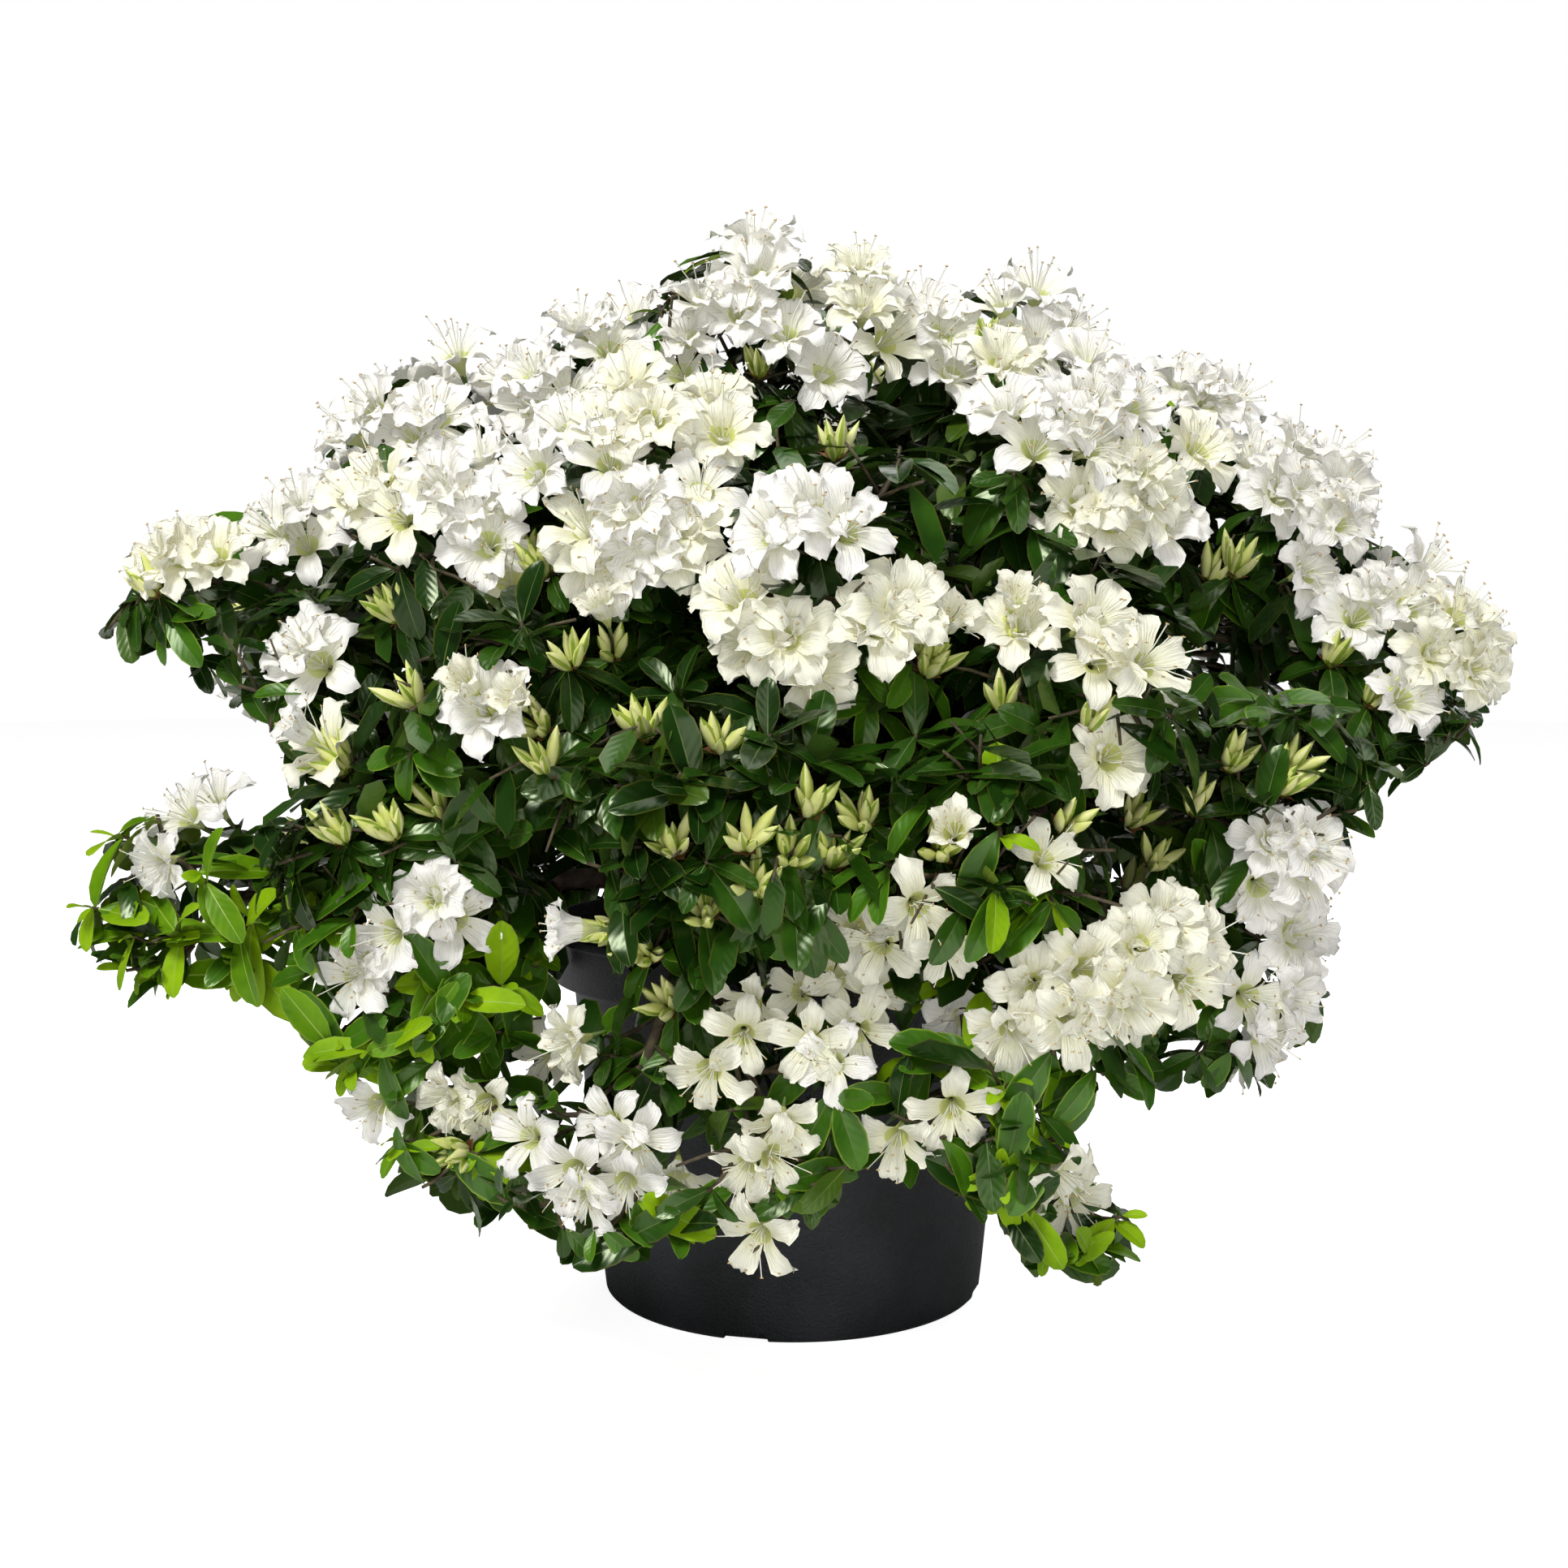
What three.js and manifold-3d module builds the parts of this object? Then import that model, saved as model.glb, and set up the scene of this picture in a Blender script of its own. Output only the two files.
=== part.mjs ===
// A white azalea shrub in its round nursery pot. Millimetres, +Z up, -Y is the front.
// The origin is the middle of the pot's flat underside.
// Pot, soil, trunk and boughs are turned or bent solids. Each mass of foliage is one solid: twigs that
// branch from one stem by a seeded rule, with leaves and open flowers fused on.
import * as THREE from 'three';
import { mergeVertices } from 'three/addons/utils/BufferGeometryUtils.js';
import Module from 'manifold-3d';

// Driving dimensions
const GAP = 0.3;
const BASE_RADIUS = 87;
const RIM_RADIUS = 115;
const COLLAR_FOOT_RADIUS = 111;
const NECK_RADIUS = 101;
const POT_HEIGHT = 172;
const COLLAR_DEPTH = 25;
const WALL = 2.6;
const FLOOR = 7;
const POT_SIDES = 36;
const NOTCH_WIDTH = 20;
const NOTCH_HEIGHT = 4.5;
const NOTCH_DEPTH = 6;
const NOTCH_COUNT = 4;
const NOTCH_TURN = -104;
const SOIL_TOP = 158;
const SOIL_RISE = 2;
const SOIL_SIDES = 24;

const TRUNK_TOP = 218;
const TRUNK_RADIUS = 12;
const TRUNK_FLARE = 9;
const TRUNK_LEAN = 4;
const TRUNK_SIDES = 15;
const TRUNK_STEPS = 6;
const ROOT_LOBES = 5;

const BOUGH_ROOT_RADIUS = 5.4;
const BOUGH_TIP_RADIUS = 4.6;
const BOUGH_SIDES = 6;
const BOUGH_STEPS = 4;
const BOUGH_KNEE = 0.45;
const FORK_RING = 6.6;
const STEM_ROOT_RADIUS = 2.1;
const STEM_END_RADIUS = 1.9;
const STEM_STEPS = 3;
const STEM_KNEE = 0.25;
const STEM_RING = 2.9;
const TWIG_RADIUS = 1.4;
const TWIG_SIDES = 3;

const LEAF_LENGTH = 54;
const LEAF_WIDTH = 24;
const LEAF_THICKNESS = 2.4;
const LEAF_STUB = 8;
const LEAF_ENTRY = 12;
const FLOWER_RADIUS = 36;
const FLOWER_DEPTH = 24;
const FLOWER_LOBES = 5;
const TIP_ALLOWANCE = 20;
const TIP_MARGIN = 13;
const TIP_STEP = 4;
const SHORTEST_TWIG = 8;
const FORK_FROM = 0.62;
const FORK_STEP = 0.05;
const TWIG_SPREAD = 105;
const TWIG_RISE = 0.25;
const GOLDEN_TURN = 2.39996;
const CROWN_CORE = [0, 20, 190];
const FUSE_TOLERANCE = 0.25;

// Main boughs: height on the trunk (or 'top' for the three that end it), tip, arch of the middle.
const BOUGHS = {
  bough_top: ['top', [-2, 32, 352], 10],
  bough_upper_left: ['top', [-150, -14, 318], 22],
  bough_upper_right: ['top', [172, 8, 305], 22],
  bough_left: [195, [-140, -14, 236], 6],
  bough_right: [195, [140, 2, 226], 6],
  bough_front_high: [202, [-40, -82, 290], -26],
  bough_front_right: [204, [84, -64, 292], -26],
  bough_back_left: [204, [-110, 96, 285], -20],
  bough_back_right: [202, [108, 112, 285], -20],
  bough_back: [184, [0, 130, 226], 2],
  bough_low_left: [184, [-138, -62, 192], 14],
  bough_low_front_left: [184, [-36, -130, 188], 14],
  bough_low_front_right: [195, [62, -126, 188], 12],
  bough_low_right: [184, [126, -78, 194], 12],
};

// Masses of foliage: bough, middle, half sizes of the space they may fill, what their tips carry, seed.
const MASSES = {
  crown_top: ['bough_top', [-18, 20, 425], [75, 65, 71], 'flowers', 21],
  crown_top_right: ['bough_top', [95, 55, 420], [75, 65, 60], 'flowers', 42],
  crown_top_left: ['bough_top', [-98, 15, 395], [62, 65, 60], 'flowers', 41],
  shoulder_left: ['bough_upper_left', [-165, 10, 385], [62, 65, 55], 'flowers', 32],
  arm_left: ['bough_upper_left', [-252, -5, 325], [80, 62, 52], 'flowers', 31],
  left_high: ['bough_upper_left', [-140, -75, 335], [60, 55, 55], 'mixed', 42],
  shoulder_right: ['bough_upper_right', [172, 35, 385], [62, 65, 54], 'flowers', 6],
  upper_right: ['bough_upper_right', [225, 10, 345], [62, 65, 55], 'flowers', 42],
  arm_right: ['bough_upper_right', [272, -15, 278], [68, 65, 66], 'mixed', 42],
  left_mid: ['bough_left', [-205, -50, 278], [54, 52, 46], 'mixed', 31],
  left_inner: ['bough_left', [-165, -105, 215], [60, 52, 50], 'leaves', 28],
  back_low_left: ['bough_left', [-190, 90, 205], [66, 62, 58], 'mixed', 42],
  right_mid: ['bough_right', [195, -90, 235], [66, 60, 58], 'leaves', 16],
  back_low_right: ['bough_right', [190, 80, 195], [68, 62, 60], 'mixed', 42],
  front_left_high: ['bough_front_high', [-62, -100, 355], [62, 60, 55], 'flowers', 45],
  front_high: ['bough_front_high', [18, -130, 330], [62, 60, 58], 'flowers', 11],
  front_left: ['bough_front_high', [-100, -130, 270], [62, 55, 55], 'mixed', 1],
  front_right: ['bough_front_right', [112, -130, 290], [66, 55, 55], 'mixed', 2],
  front_right_high: ['bough_front_right', [105, -85, 365], [66, 60, 58], 'flowers', 28],
  back_top_left: ['bough_back_left', [-100, 115, 375], [70, 65, 62], 'flowers', 29],
  back_left: ['bough_back_left', [-215, 85, 295], [72, 65, 62], 'flowers', 25],
  back_mid_left: ['bough_back_left', [-110, 180, 290], [70, 64, 65], 'mixed', 32],
  back_top_right: ['bough_back_right', [85, 140, 375], [75, 65, 62], 'flowers', 31],
  back_right: ['bough_back_right', [215, 100, 290], [74, 65, 65], 'flowers', 13],
  back_mid_right: ['bough_back_right', [100, 200, 290], [70, 62, 65], 'mixed', 9],
  back_mid: ['bough_back', [-5, 190, 335], [66, 62, 65], 'flowers', 10],
  back_low_mid_left: ['bough_back', [-75, 190, 205], [70, 60, 62], 'leaves', 42],
  back_low_mid_right: ['bough_back', [80, 195, 200], [70, 60, 62], 'mixed', 20],
  spray_left: ['bough_low_left', [-262, -45, 190], [70, 55, 46], 'mixed', 32],
  low_left: ['bough_low_left', [-160, -95, 155], [62, 52, 48], 'mixed', 32],
  skirt_left: ['bough_low_left', [-135, -105, 92], [55, 48, 46], 'skirt', 26],
  front_mid: ['bough_low_front_left', [-25, -160, 235], [62, 52, 55], 'leaves', 31],
  skirt_front_left: ['bough_low_front_left', [-72, -158, 92], [52, 45, 50], 'skirt', 31],
  skirt_front: ['bough_low_front_left', [-8, -165, 112], [55, 45, 60], 'flowers', 36],
  front_right_mid: ['bough_low_front_right', [62, -160, 222], [58, 52, 52], 'leaves', 18],
  skirt_front_right: ['bough_low_front_right', [68, -160, 110], [55, 45, 52], 'skirt', 23],
  skirt_right: ['bough_low_front_right', [116, -138, 68], [44, 42, 38], 'skirt', 32],
  low_right: ['bough_low_right', [105, -150, 168], [60, 52, 48], 'flowers', 18],
  right_low: ['bough_low_right', [182, -80, 155], [58, 55, 60], 'flowers', 22],
};

// What the twigs of a mass carry in the solids: one open flower or none, and leaves below it.
const TIPS = {
  flowers: [[1, 3], [1, 0], [1, 0], [1, 3]],
  mixed: [[1, 0], [0, 5], [1, 3], [1, 0]],
  leaves: [[0, 5], [0, 4], [1, 0], [0, 4]],
  skirt: [[1, 3], [0, 4], [1, 0], [1, 0]],
};
const WHORL_BACK = 13;
const FLOWER_ROOM = 23;
const FLOWER_TRIES = 14;
const SPARE_LEAVES = 4;
const SEED_STEP = 7919;
const DETAIL_SEED = 5000;

const wasm = await Module();
wasm.setup();

const vector = (p) => new THREE.Vector3(p[0], p[1], p[2]);
const lerp = (a, b, t) => a + (b - a) * t;

// The same seed always gives the same row of numbers between 0 and 1.
function numbers(seed) {
  let state = seed;
  return () => {
    state = (state * 48271) % 2147483647;
    return state / 2147483647;
  };
}

// A closed three.js geometry as a solid.
function solid(geometry) {
  geometry.deleteAttribute('normal');
  geometry.deleteAttribute('uv');
  const merged = mergeVertices(geometry, 1e-4);
  const corners = merged.index.array;
  const triangles = [];
  for (let i = 0; i < corners.length; i += 3) {
    const [a, b, c] = [corners[i], corners[i + 1], corners[i + 2]];
    if (a !== b && b !== c && c !== a) triangles.push(a, b, c);
  }
  const shape = new wasm.Mesh({
    numProp: 3,
    vertProperties: new Float32Array(merged.attributes.position.array),
    triVerts: new Uint32Array(triangles),
  });
  return new wasm.Manifold(shape);
}

// The largest body of a solid, so that loose scraps and sealed hollows are gone.
function oneBody(shape) {
  const bodies = shape.decompose();
  bodies.sort((a, b) => b.volume() - a.volume());
  return bodies[0];
}

const group = new THREE.Group();

function add(name, shape, material) {
  const data = shape.getMesh();
  const geometry = new THREE.BufferGeometry();
  geometry.setAttribute('position', new THREE.BufferAttribute(new Float32Array(data.vertProperties), 3));
  geometry.setIndex(new THREE.BufferAttribute(new Uint32Array(data.triVerts), 1));
  geometry.computeVertexNormals();
  const mesh = new THREE.Mesh(geometry, material);
  mesh.name = name;
  group.add(mesh);
}

function paint(color, roughness) {
  return new THREE.MeshStandardMaterial({ color, roughness, metalness: 0 });
}

// Pot: one turned wall with a stepped collar, and drain notches in the foot.

function turned(profile, sides) {
  const outline = profile.map(([r, z]) => new THREE.Vector2(r, z));
  const lathe = new THREE.LatheGeometry(outline, sides);
  lathe.rotateX(Math.PI / 2);
  return solid(lathe);
}

function pot() {
  const foot = POT_HEIGHT - COLLAR_DEPTH;
  const wall = turned([
    [0, 0],
    [BASE_RADIUS - 2, 0],
    [BASE_RADIUS, 2],
    [NECK_RADIUS, foot - 2],
    [COLLAR_FOOT_RADIUS - 1, foot],
    [COLLAR_FOOT_RADIUS, foot + 1],
    [RIM_RADIUS, POT_HEIGHT - 1],
    [RIM_RADIUS - 1, POT_HEIGHT],
    [RIM_RADIUS - WALL, POT_HEIGHT],
    [COLLAR_FOOT_RADIUS - WALL, foot + WALL],
    [NECK_RADIUS - WALL, foot],
    [BASE_RADIUS - WALL, FLOOR],
    [0, FLOOR],
  ], POT_SIDES);
  const notches = [];
  for (let i = 0; i < NOTCH_COUNT; i += 1) {
    const notch = new THREE.BoxGeometry(2 * NOTCH_DEPTH, NOTCH_WIDTH, 2 * NOTCH_HEIGHT);
    notch.translate(BASE_RADIUS, 0, 0);
    notch.rotateZ(THREE.MathUtils.degToRad(NOTCH_TURN + i * 360 / NOTCH_COUNT));
    notches.push(solid(notch));
  }
  return wall.subtract(wasm.Manifold.union(notches));
}

// Soil: fills the pot to a little below the rim.

function soil() {
  const foot = POT_HEIGHT - COLLAR_DEPTH;
  const inset = WALL + 3 * GAP;
  return turned([
    [0, FLOOR + GAP],
    [BASE_RADIUS - inset - GAP, FLOOR + GAP],
    [NECK_RADIUS - inset, foot + GAP],
    [COLLAR_FOOT_RADIUS - inset, foot + WALL + GAP],
    [COLLAR_FOOT_RADIUS - inset + 1, SOIL_TOP - SOIL_RISE],
    [TRUNK_RADIUS + 2 * TRUNK_FLARE, SOIL_TOP],
    [0, SOIL_TOP],
  ], SOIL_SIDES);
}

// Trunk: short, leaning a little, with a lobed root flare on the soil.

const TRUNK_FOOT = SOIL_TOP + GAP;

function trunkCentre(z) {
  const t = (z - TRUNK_FOOT) / (TRUNK_TOP - TRUNK_FOOT);
  return new THREE.Vector3(TRUNK_LEAN * t * t, -TRUNK_LEAN * t / 2, z);
}

function trunk(extra) {
  const height = TRUNK_TOP - TRUNK_FOOT;
  const geometry = new THREE.CylinderGeometry(1, 1, 1, TRUNK_SIDES, TRUNK_STEPS);
  const place = geometry.attributes.position;
  for (let i = 0; i < place.count; i += 1) {
    const t = place.getY(i) + 0.5;
    const turn = Math.atan2(place.getZ(i), place.getX(i));
    const flare = TRUNK_FLARE * (1 - t) ** 4 * (0.65 + 0.35 * Math.cos(ROOT_LOBES * turn + 1));
    const taper = TRUNK_RADIUS * lerp(1.08, 0.96, t);
    const radius = (taper + flare + extra) * Math.hypot(place.getX(i), place.getZ(i));
    const z = TRUNK_FOOT + height * t + (t - 0.5) * 2 * extra;
    const centre = trunkCentre(z);
    place.setXYZ(i, centre.x + radius * Math.cos(turn), centre.y - radius * Math.sin(turn), z);
  }
  return solid(geometry);
}

// Limbs: a cylinder bent along a curve, tapering from one end to the other.

function limb(curve, startRadius, endRadius, sides, steps) {
  const geometry = new THREE.CylinderGeometry(1, 1, 1, sides, steps);
  const frames = curve.computeFrenetFrames(steps, false);
  const place = geometry.attributes.position;
  for (let i = 0; i < place.count; i += 1) {
    const t = place.getY(i) + 0.5;
    const step = Math.round(t * steps);
    const radius = lerp(startRadius, endRadius, t);
    const side = frames.normals[step];
    const other = side.clone().cross(frames.tangents[step]);
    const at = curve.getPoint(step / steps);
    at.addScaledVector(side, place.getX(i) * radius);
    at.addScaledVector(other, place.getZ(i) * radius);
    place.setXYZ(i, at.x, at.y, at.z);
  }
  return solid(geometry);
}

// Straight stretches of every limb, so that twigs and leaves can be kept off them.
const stretches = [];

function keepOff(name, curve, startRadius, endRadius, steps) {
  for (let i = 0; i < steps; i += 1) {
    const from = curve.getPoint(i / steps);
    const to = curve.getPoint((i + 1) / steps);
    stretches.push({ name, from, to, radius: lerp(startRadius, endRadius, i / steps) });
  }
}

// Places round the end of a limb for what grows on from it, one for each target, in turn order.
function forkPlaces(end, along, ring, targets) {
  const side = new THREE.Vector3(0, 0, 1).cross(along);
  if (side.length() < 0.2) side.set(1, 0, 0);
  side.addScaledVector(along, -side.dot(along)).normalize();
  const other = along.clone().cross(side);
  const turns = targets.map((target, index) => {
    const away = target.clone().sub(end);
    return { index, turn: Math.atan2(away.dot(other), away.dot(side)) };
  });
  turns.sort((a, b) => a.turn - b.turn);
  const step = 2 * Math.PI / turns.length;
  let sine = 0;
  let cosine = 0;
  turns.forEach((entry, k) => {
    sine += Math.sin(entry.turn - k * step);
    cosine += Math.cos(entry.turn - k * step);
  });
  const first = Math.atan2(sine, cosine);
  const places = [];
  turns.forEach((entry, k) => {
    const turn = first + k * step;
    const at = end.clone().addScaledVector(side, ring * Math.cos(turn));
    at.addScaledVector(other, ring * Math.sin(turn));
    places[entry.index] = at;
  });
  return places;
}

function boughCurves() {
  const curves = {};
  const topNames = Object.keys(BOUGHS).filter((name) => BOUGHS[name][0] === 'top');
  const up = new THREE.Vector3(0, 0, 1);
  const crest = trunkCentre(TRUNK_TOP + GAP);
  const places = forkPlaces(crest, up, FORK_RING, topNames.map((name) => vector(BOUGHS[name][1])));
  for (const [name, [height, tip, arch]] of Object.entries(BOUGHS)) {
    const end = vector(tip);
    if (height === 'top') {
      const start = places[topNames.indexOf(name)];
      const knee = start.clone().addScaledVector(up, BOUGH_KNEE * (end.z - start.z) + arch);
      curves[name] = new THREE.QuadraticBezierCurve3(start, knee, end);
    } else {
      const start = trunkCentre(height);
      const knee = start.clone().lerp(end, 0.5);
      knee.z += arch;
      curves[name] = new THREE.QuadraticBezierCurve3(start, knee, end);
    }
  }
  return curves;
}

// Distances, for keeping clear.

function stretchDistance(p1, q1, p2, q2) {
  const d1 = q1.clone().sub(p1);
  const d2 = q2.clone().sub(p2);
  const r = p1.clone().sub(p2);
  const a = d1.dot(d1);
  const e = d2.dot(d2);
  const b = d1.dot(d2);
  const c = d1.dot(r);
  const f = d2.dot(r);
  const den = a * e - b * b;
  let s = den > 1e-9 ? THREE.MathUtils.clamp((b * f - c * e) / den, 0, 1) : 0;
  let t = (b * s + f) / e;
  if (t < 0) {
    t = 0;
    s = THREE.MathUtils.clamp(-c / a, 0, 1);
  } else if (t > 1) {
    t = 1;
    s = THREE.MathUtils.clamp((b - c) / a, 0, 1);
  }
  return p1.clone().addScaledVector(d1, s).distanceTo(p2.clone().addScaledVector(d2, t));
}

function clearOfLimbs(from, to, radius, own) {
  return stretches.every((stretch) => stretch.name === own
    || stretchDistance(from, to, stretch.from, stretch.to) > radius + stretch.radius + 2 * GAP);
}

function clearOfPot(p, margin) {
  if (p.z > POT_HEIGHT + margin) return true;
  return p.z > margin && Math.hypot(p.x, p.y) > RIM_RADIUS + margin;
}

// A mass's own space: its ellipsoid, cut by a plane between it and each neighbour.

function reach(half, along) {
  return 1 / Math.hypot(along.x / half[0], along.y / half[1], along.z / half[2]);
}

function spread(half, along) {
  return Math.hypot(along.x * half[0], along.y * half[1], along.z * half[2]);
}

function planesOf(name) {
  const [, middle, half] = MASSES[name];
  const planes = [];
  for (const [other, [, otherMiddle, otherHalf]] of Object.entries(MASSES)) {
    if (other !== name) {
      const normal = vector(otherMiddle).sub(vector(middle));
      const distance = normal.length();
      normal.normalize();
      const mine = spread(half, normal);
      const theirs = spread(otherHalf, normal);
      planes.push({ normal, limit: vector(middle).dot(normal) + distance * mine / (mine + theirs) });
    }
  }
  return planes;
}

function inSpace(space, p, margin) {
  const [, middle, half] = MASSES[space.name];
  const away = p.clone().sub(vector(middle));
  if (Math.hypot(away.x / half[0], away.y / half[1], away.z / half[2]) > 1) return false;
  if (!clearOfPot(p, margin)) return false;
  return space.planes.every((plane) => p.dot(plane.normal) < plane.limit - margin);
}

// Whorl: leaves of eight faces round one foot, each with a root, two shoulders and a tip on the rim.
// It stands along its own Y axis. A leaf is { turn, length, lift }, where lift is how far its tip rises.

function whorlShape(leaves) {
  const shape = new THREE.SphereGeometry(1, 4 * leaves.length, 2);
  const place = shape.attributes.position;
  for (let i = 0; i < place.count; i += 1) {
    const [x, y, z] = [place.getX(i), place.getY(i), place.getZ(i)];
    if (Math.abs(y) > 0.5) {
      place.setXYZ(i, 0, y > 0 ? LEAF_THICKNESS / 2 : -LEAF_THICKNESS, 0);
    } else {
      const corner = Math.round(Math.atan2(z, x) / (2 * Math.PI) * 4 * leaves.length + 4 * leaves.length);
      const leaf = leaves[Math.floor((corner + 1) / 4) % leaves.length];
      const part = (corner + 1) % 4;
      const out = [0.5, 1, 0.5, 0.16][part] * leaf.length;
      const across = [-0.5, 0, 0.5, 0][part] * LEAF_WIDTH * leaf.length / LEAF_LENGTH;
      const turn = part === 3 ? leaf.turn + Math.PI / leaves.length : leaf.turn;
      const rise = leaf.lift * (out / leaf.length) ** 1.5;
      place.setXYZ(
        i,
        out * Math.cos(turn) - across * Math.sin(turn),
        part === 3 ? 0 : rise,
        out * Math.sin(turn) + across * Math.cos(turn),
      );
    }
  }
  return shape;
}

// Open flower: five lobes round a shallow funnel that narrows to its stalk, facing along its own Y axis.

function flowerShape(scale) {
  const shape = new THREE.SphereGeometry(1, 2 * FLOWER_LOBES, 2);
  const place = shape.attributes.position;
  for (let i = 0; i < place.count; i += 1) {
    const [x, y, z] = [place.getX(i), place.getY(i), place.getZ(i)];
    if (y > 0.5) {
      place.setXYZ(i, 0, scale * FLOWER_DEPTH * 0.72, 0);
    } else if (y < -0.5) {
      place.setXYZ(i, 0, 0, 0);
    } else {
      const lobe = 0.5 + 0.5 * Math.cos(FLOWER_LOBES * Math.atan2(z, x));
      const radius = scale * FLOWER_RADIUS * lerp(0.7, 1, lobe);
      place.setXYZ(i, x * radius, scale * FLOWER_DEPTH, z * radius);
    }
  }
  return shape;
}

// Whether a small shape on twig k stays in the space, off the limbs and out of the other twigs' flowers.
function fits(shape, space, k) {
  const place = shape.attributes.position;
  const corners = [];
  for (let i = 0; i < place.count; i += 1) corners.push(new THREE.Vector3().fromBufferAttribute(place, i));
  if (!corners.every((p) => inSpace(space, p, GAP))) return false;
  const others = space.flowers.filter((flower) => flower.k !== k);
  if (others.some(({ eye }) => corners.some((p) => p.distanceTo(eye) < FLOWER_ROOM))) return false;
  const index = shape.index ? Array.from(shape.index.array) : corners.map((p, i) => i);
  for (let i = 0; i < index.length; i += 3) {
    const [a, b, c] = [corners[index[i]], corners[index[i + 1]], corners[index[i + 2]]];
    const middle = a.clone().add(b).add(c).divideScalar(3);
    if (!clearOfPot(middle, GAP)) return false;
    for (const [from, to] of [[a, b], [b, c], [c, a], [a, middle], [b, middle], [c, middle]]) {
      if (from.distanceTo(to) > GAP && !clearOfLimbs(from, to, 1, space.stem)) return false;
    }
  }
  return true;
}

function settle(shape, at, across, facing) {
  const x = across.clone().normalize();
  const z = facing.clone().addScaledVector(x, -facing.dot(x)).normalize();
  const y = z.clone().cross(x);
  shape.applyMatrix4(new THREE.Matrix4().makeBasis(x, y, z).setPosition(at));
  return shape;
}

// Twigs of a mass: where they leave the stem and end. The numbers come in the same order for every mass.

function twigsOf(name, stem, space, random) {
  const [, middle, half, kind] = MASSES[name];
  const centre = vector(middle);
  const out = centre.clone().sub(vector(CROWN_CORE)).normalize();
  out.z += TWIG_RISE;
  out.normalize();
  const side = new THREE.Vector3(0, 0, 1).cross(out).normalize();
  const up = out.clone().cross(side);
  const count = TIPS[kind].length;
  const first = random() * 2 * Math.PI;
  const twigs = [];
  for (let k = 0; k < count; k += 1) {
    const share = (k + 0.15 + 0.4 * random()) / count;
    const slope = lerp(1, Math.cos(THREE.MathUtils.degToRad(TWIG_SPREAD)), share);
    const turn = first + k * GOLDEN_TURN + 0.5 * (random() - 0.5);
    const flat = Math.sqrt(1 - slope * slope);
    const along = out.clone().multiplyScalar(slope);
    along.addScaledVector(side, flat * Math.cos(turn)).addScaledVector(up, flat * Math.sin(turn));
    const endAt = (length) => centre.clone().addScaledVector(along, length);
    let length = Math.max(reach(half, along) - TIP_ALLOWANCE, SHORTEST_TWIG);
    let fork = lerp(FORK_FROM, 1, random());
    while (fork < 1 && !inSpace(space, stem.getPoint(fork), 2)) fork = Math.min(1, fork + FORK_STEP);
    const from = stem.getPoint(fork);
    while (length > SHORTEST_TWIG && !inSpace(space, endAt(length), TIP_MARGIN)) length -= TIP_STEP;
    const tip = endAt(length);
    if (inSpace(space, tip, 2) && clearOfLimbs(from, tip, TWIG_RADIUS, space.stem)) {
      twigs.push({ k, from, tip, along });
    }
  }
  return twigs;
}

// Each leaf of a whorl takes the first length and lift that keep it in the space and off the limbs.
// The twig enters the back of the first leaf, beside its rib, and ends there or passes through.
function whorlAt(twig, count, back, space, random) {
  const grow = twig.tip.clone().sub(twig.from).normalize();
  const across = new THREE.Vector3(random() - 0.5, random() - 0.5, random() - 0.5).cross(grow);
  const leaves = [];
  for (let k = 0; k < count; k += 1) {
    leaves.push({ turn: (k + 0.3 * (random() - 0.5)) * 2 * Math.PI / count, length: LEAF_STUB, lift: 0 });
  }
  const entry = new THREE.Vector3(LEAF_ENTRY, 0, LEAF_ENTRY * LEAF_WIDTH / LEAF_LENGTH / 2);
  entry.applyAxisAngle(new THREE.Vector3(0, 1, 0), -leaves[0].turn);
  const stand = (list) => {
    const shape = whorlShape(list);
    shape.translate(-entry.x, -entry.y, -entry.z);
    shape.rotateX(Math.PI / 2);
    return settle(shape, twig.tip.clone().addScaledVector(grow, -back), across, grow);
  };
  for (const leaf of leaves) {
    const first = 0.7 * random() - 0.35;
    for (let attempt = 0; attempt < 8 && leaf.length === LEAF_STUB; attempt += 1) {
      leaf.length = LEAF_LENGTH * [1, 1, 1, 0.8, 0.8, 0.8, 0.6, 0.6][attempt];
      leaf.lift = leaf.length * (first + [0, 0.3, -0.3, 0, 0.4, -0.4, 0.2, -0.2][attempt]);
      if (!fits(stand(leaves), space, twig.k)) leaf.length = LEAF_STUB;
    }
    if (leaf.length === LEAF_STUB) leaf.lift = 0;
  }
  if (leaves[0].length === LEAF_STUB) return null;
  return solid(stand(leaves));
}

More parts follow.
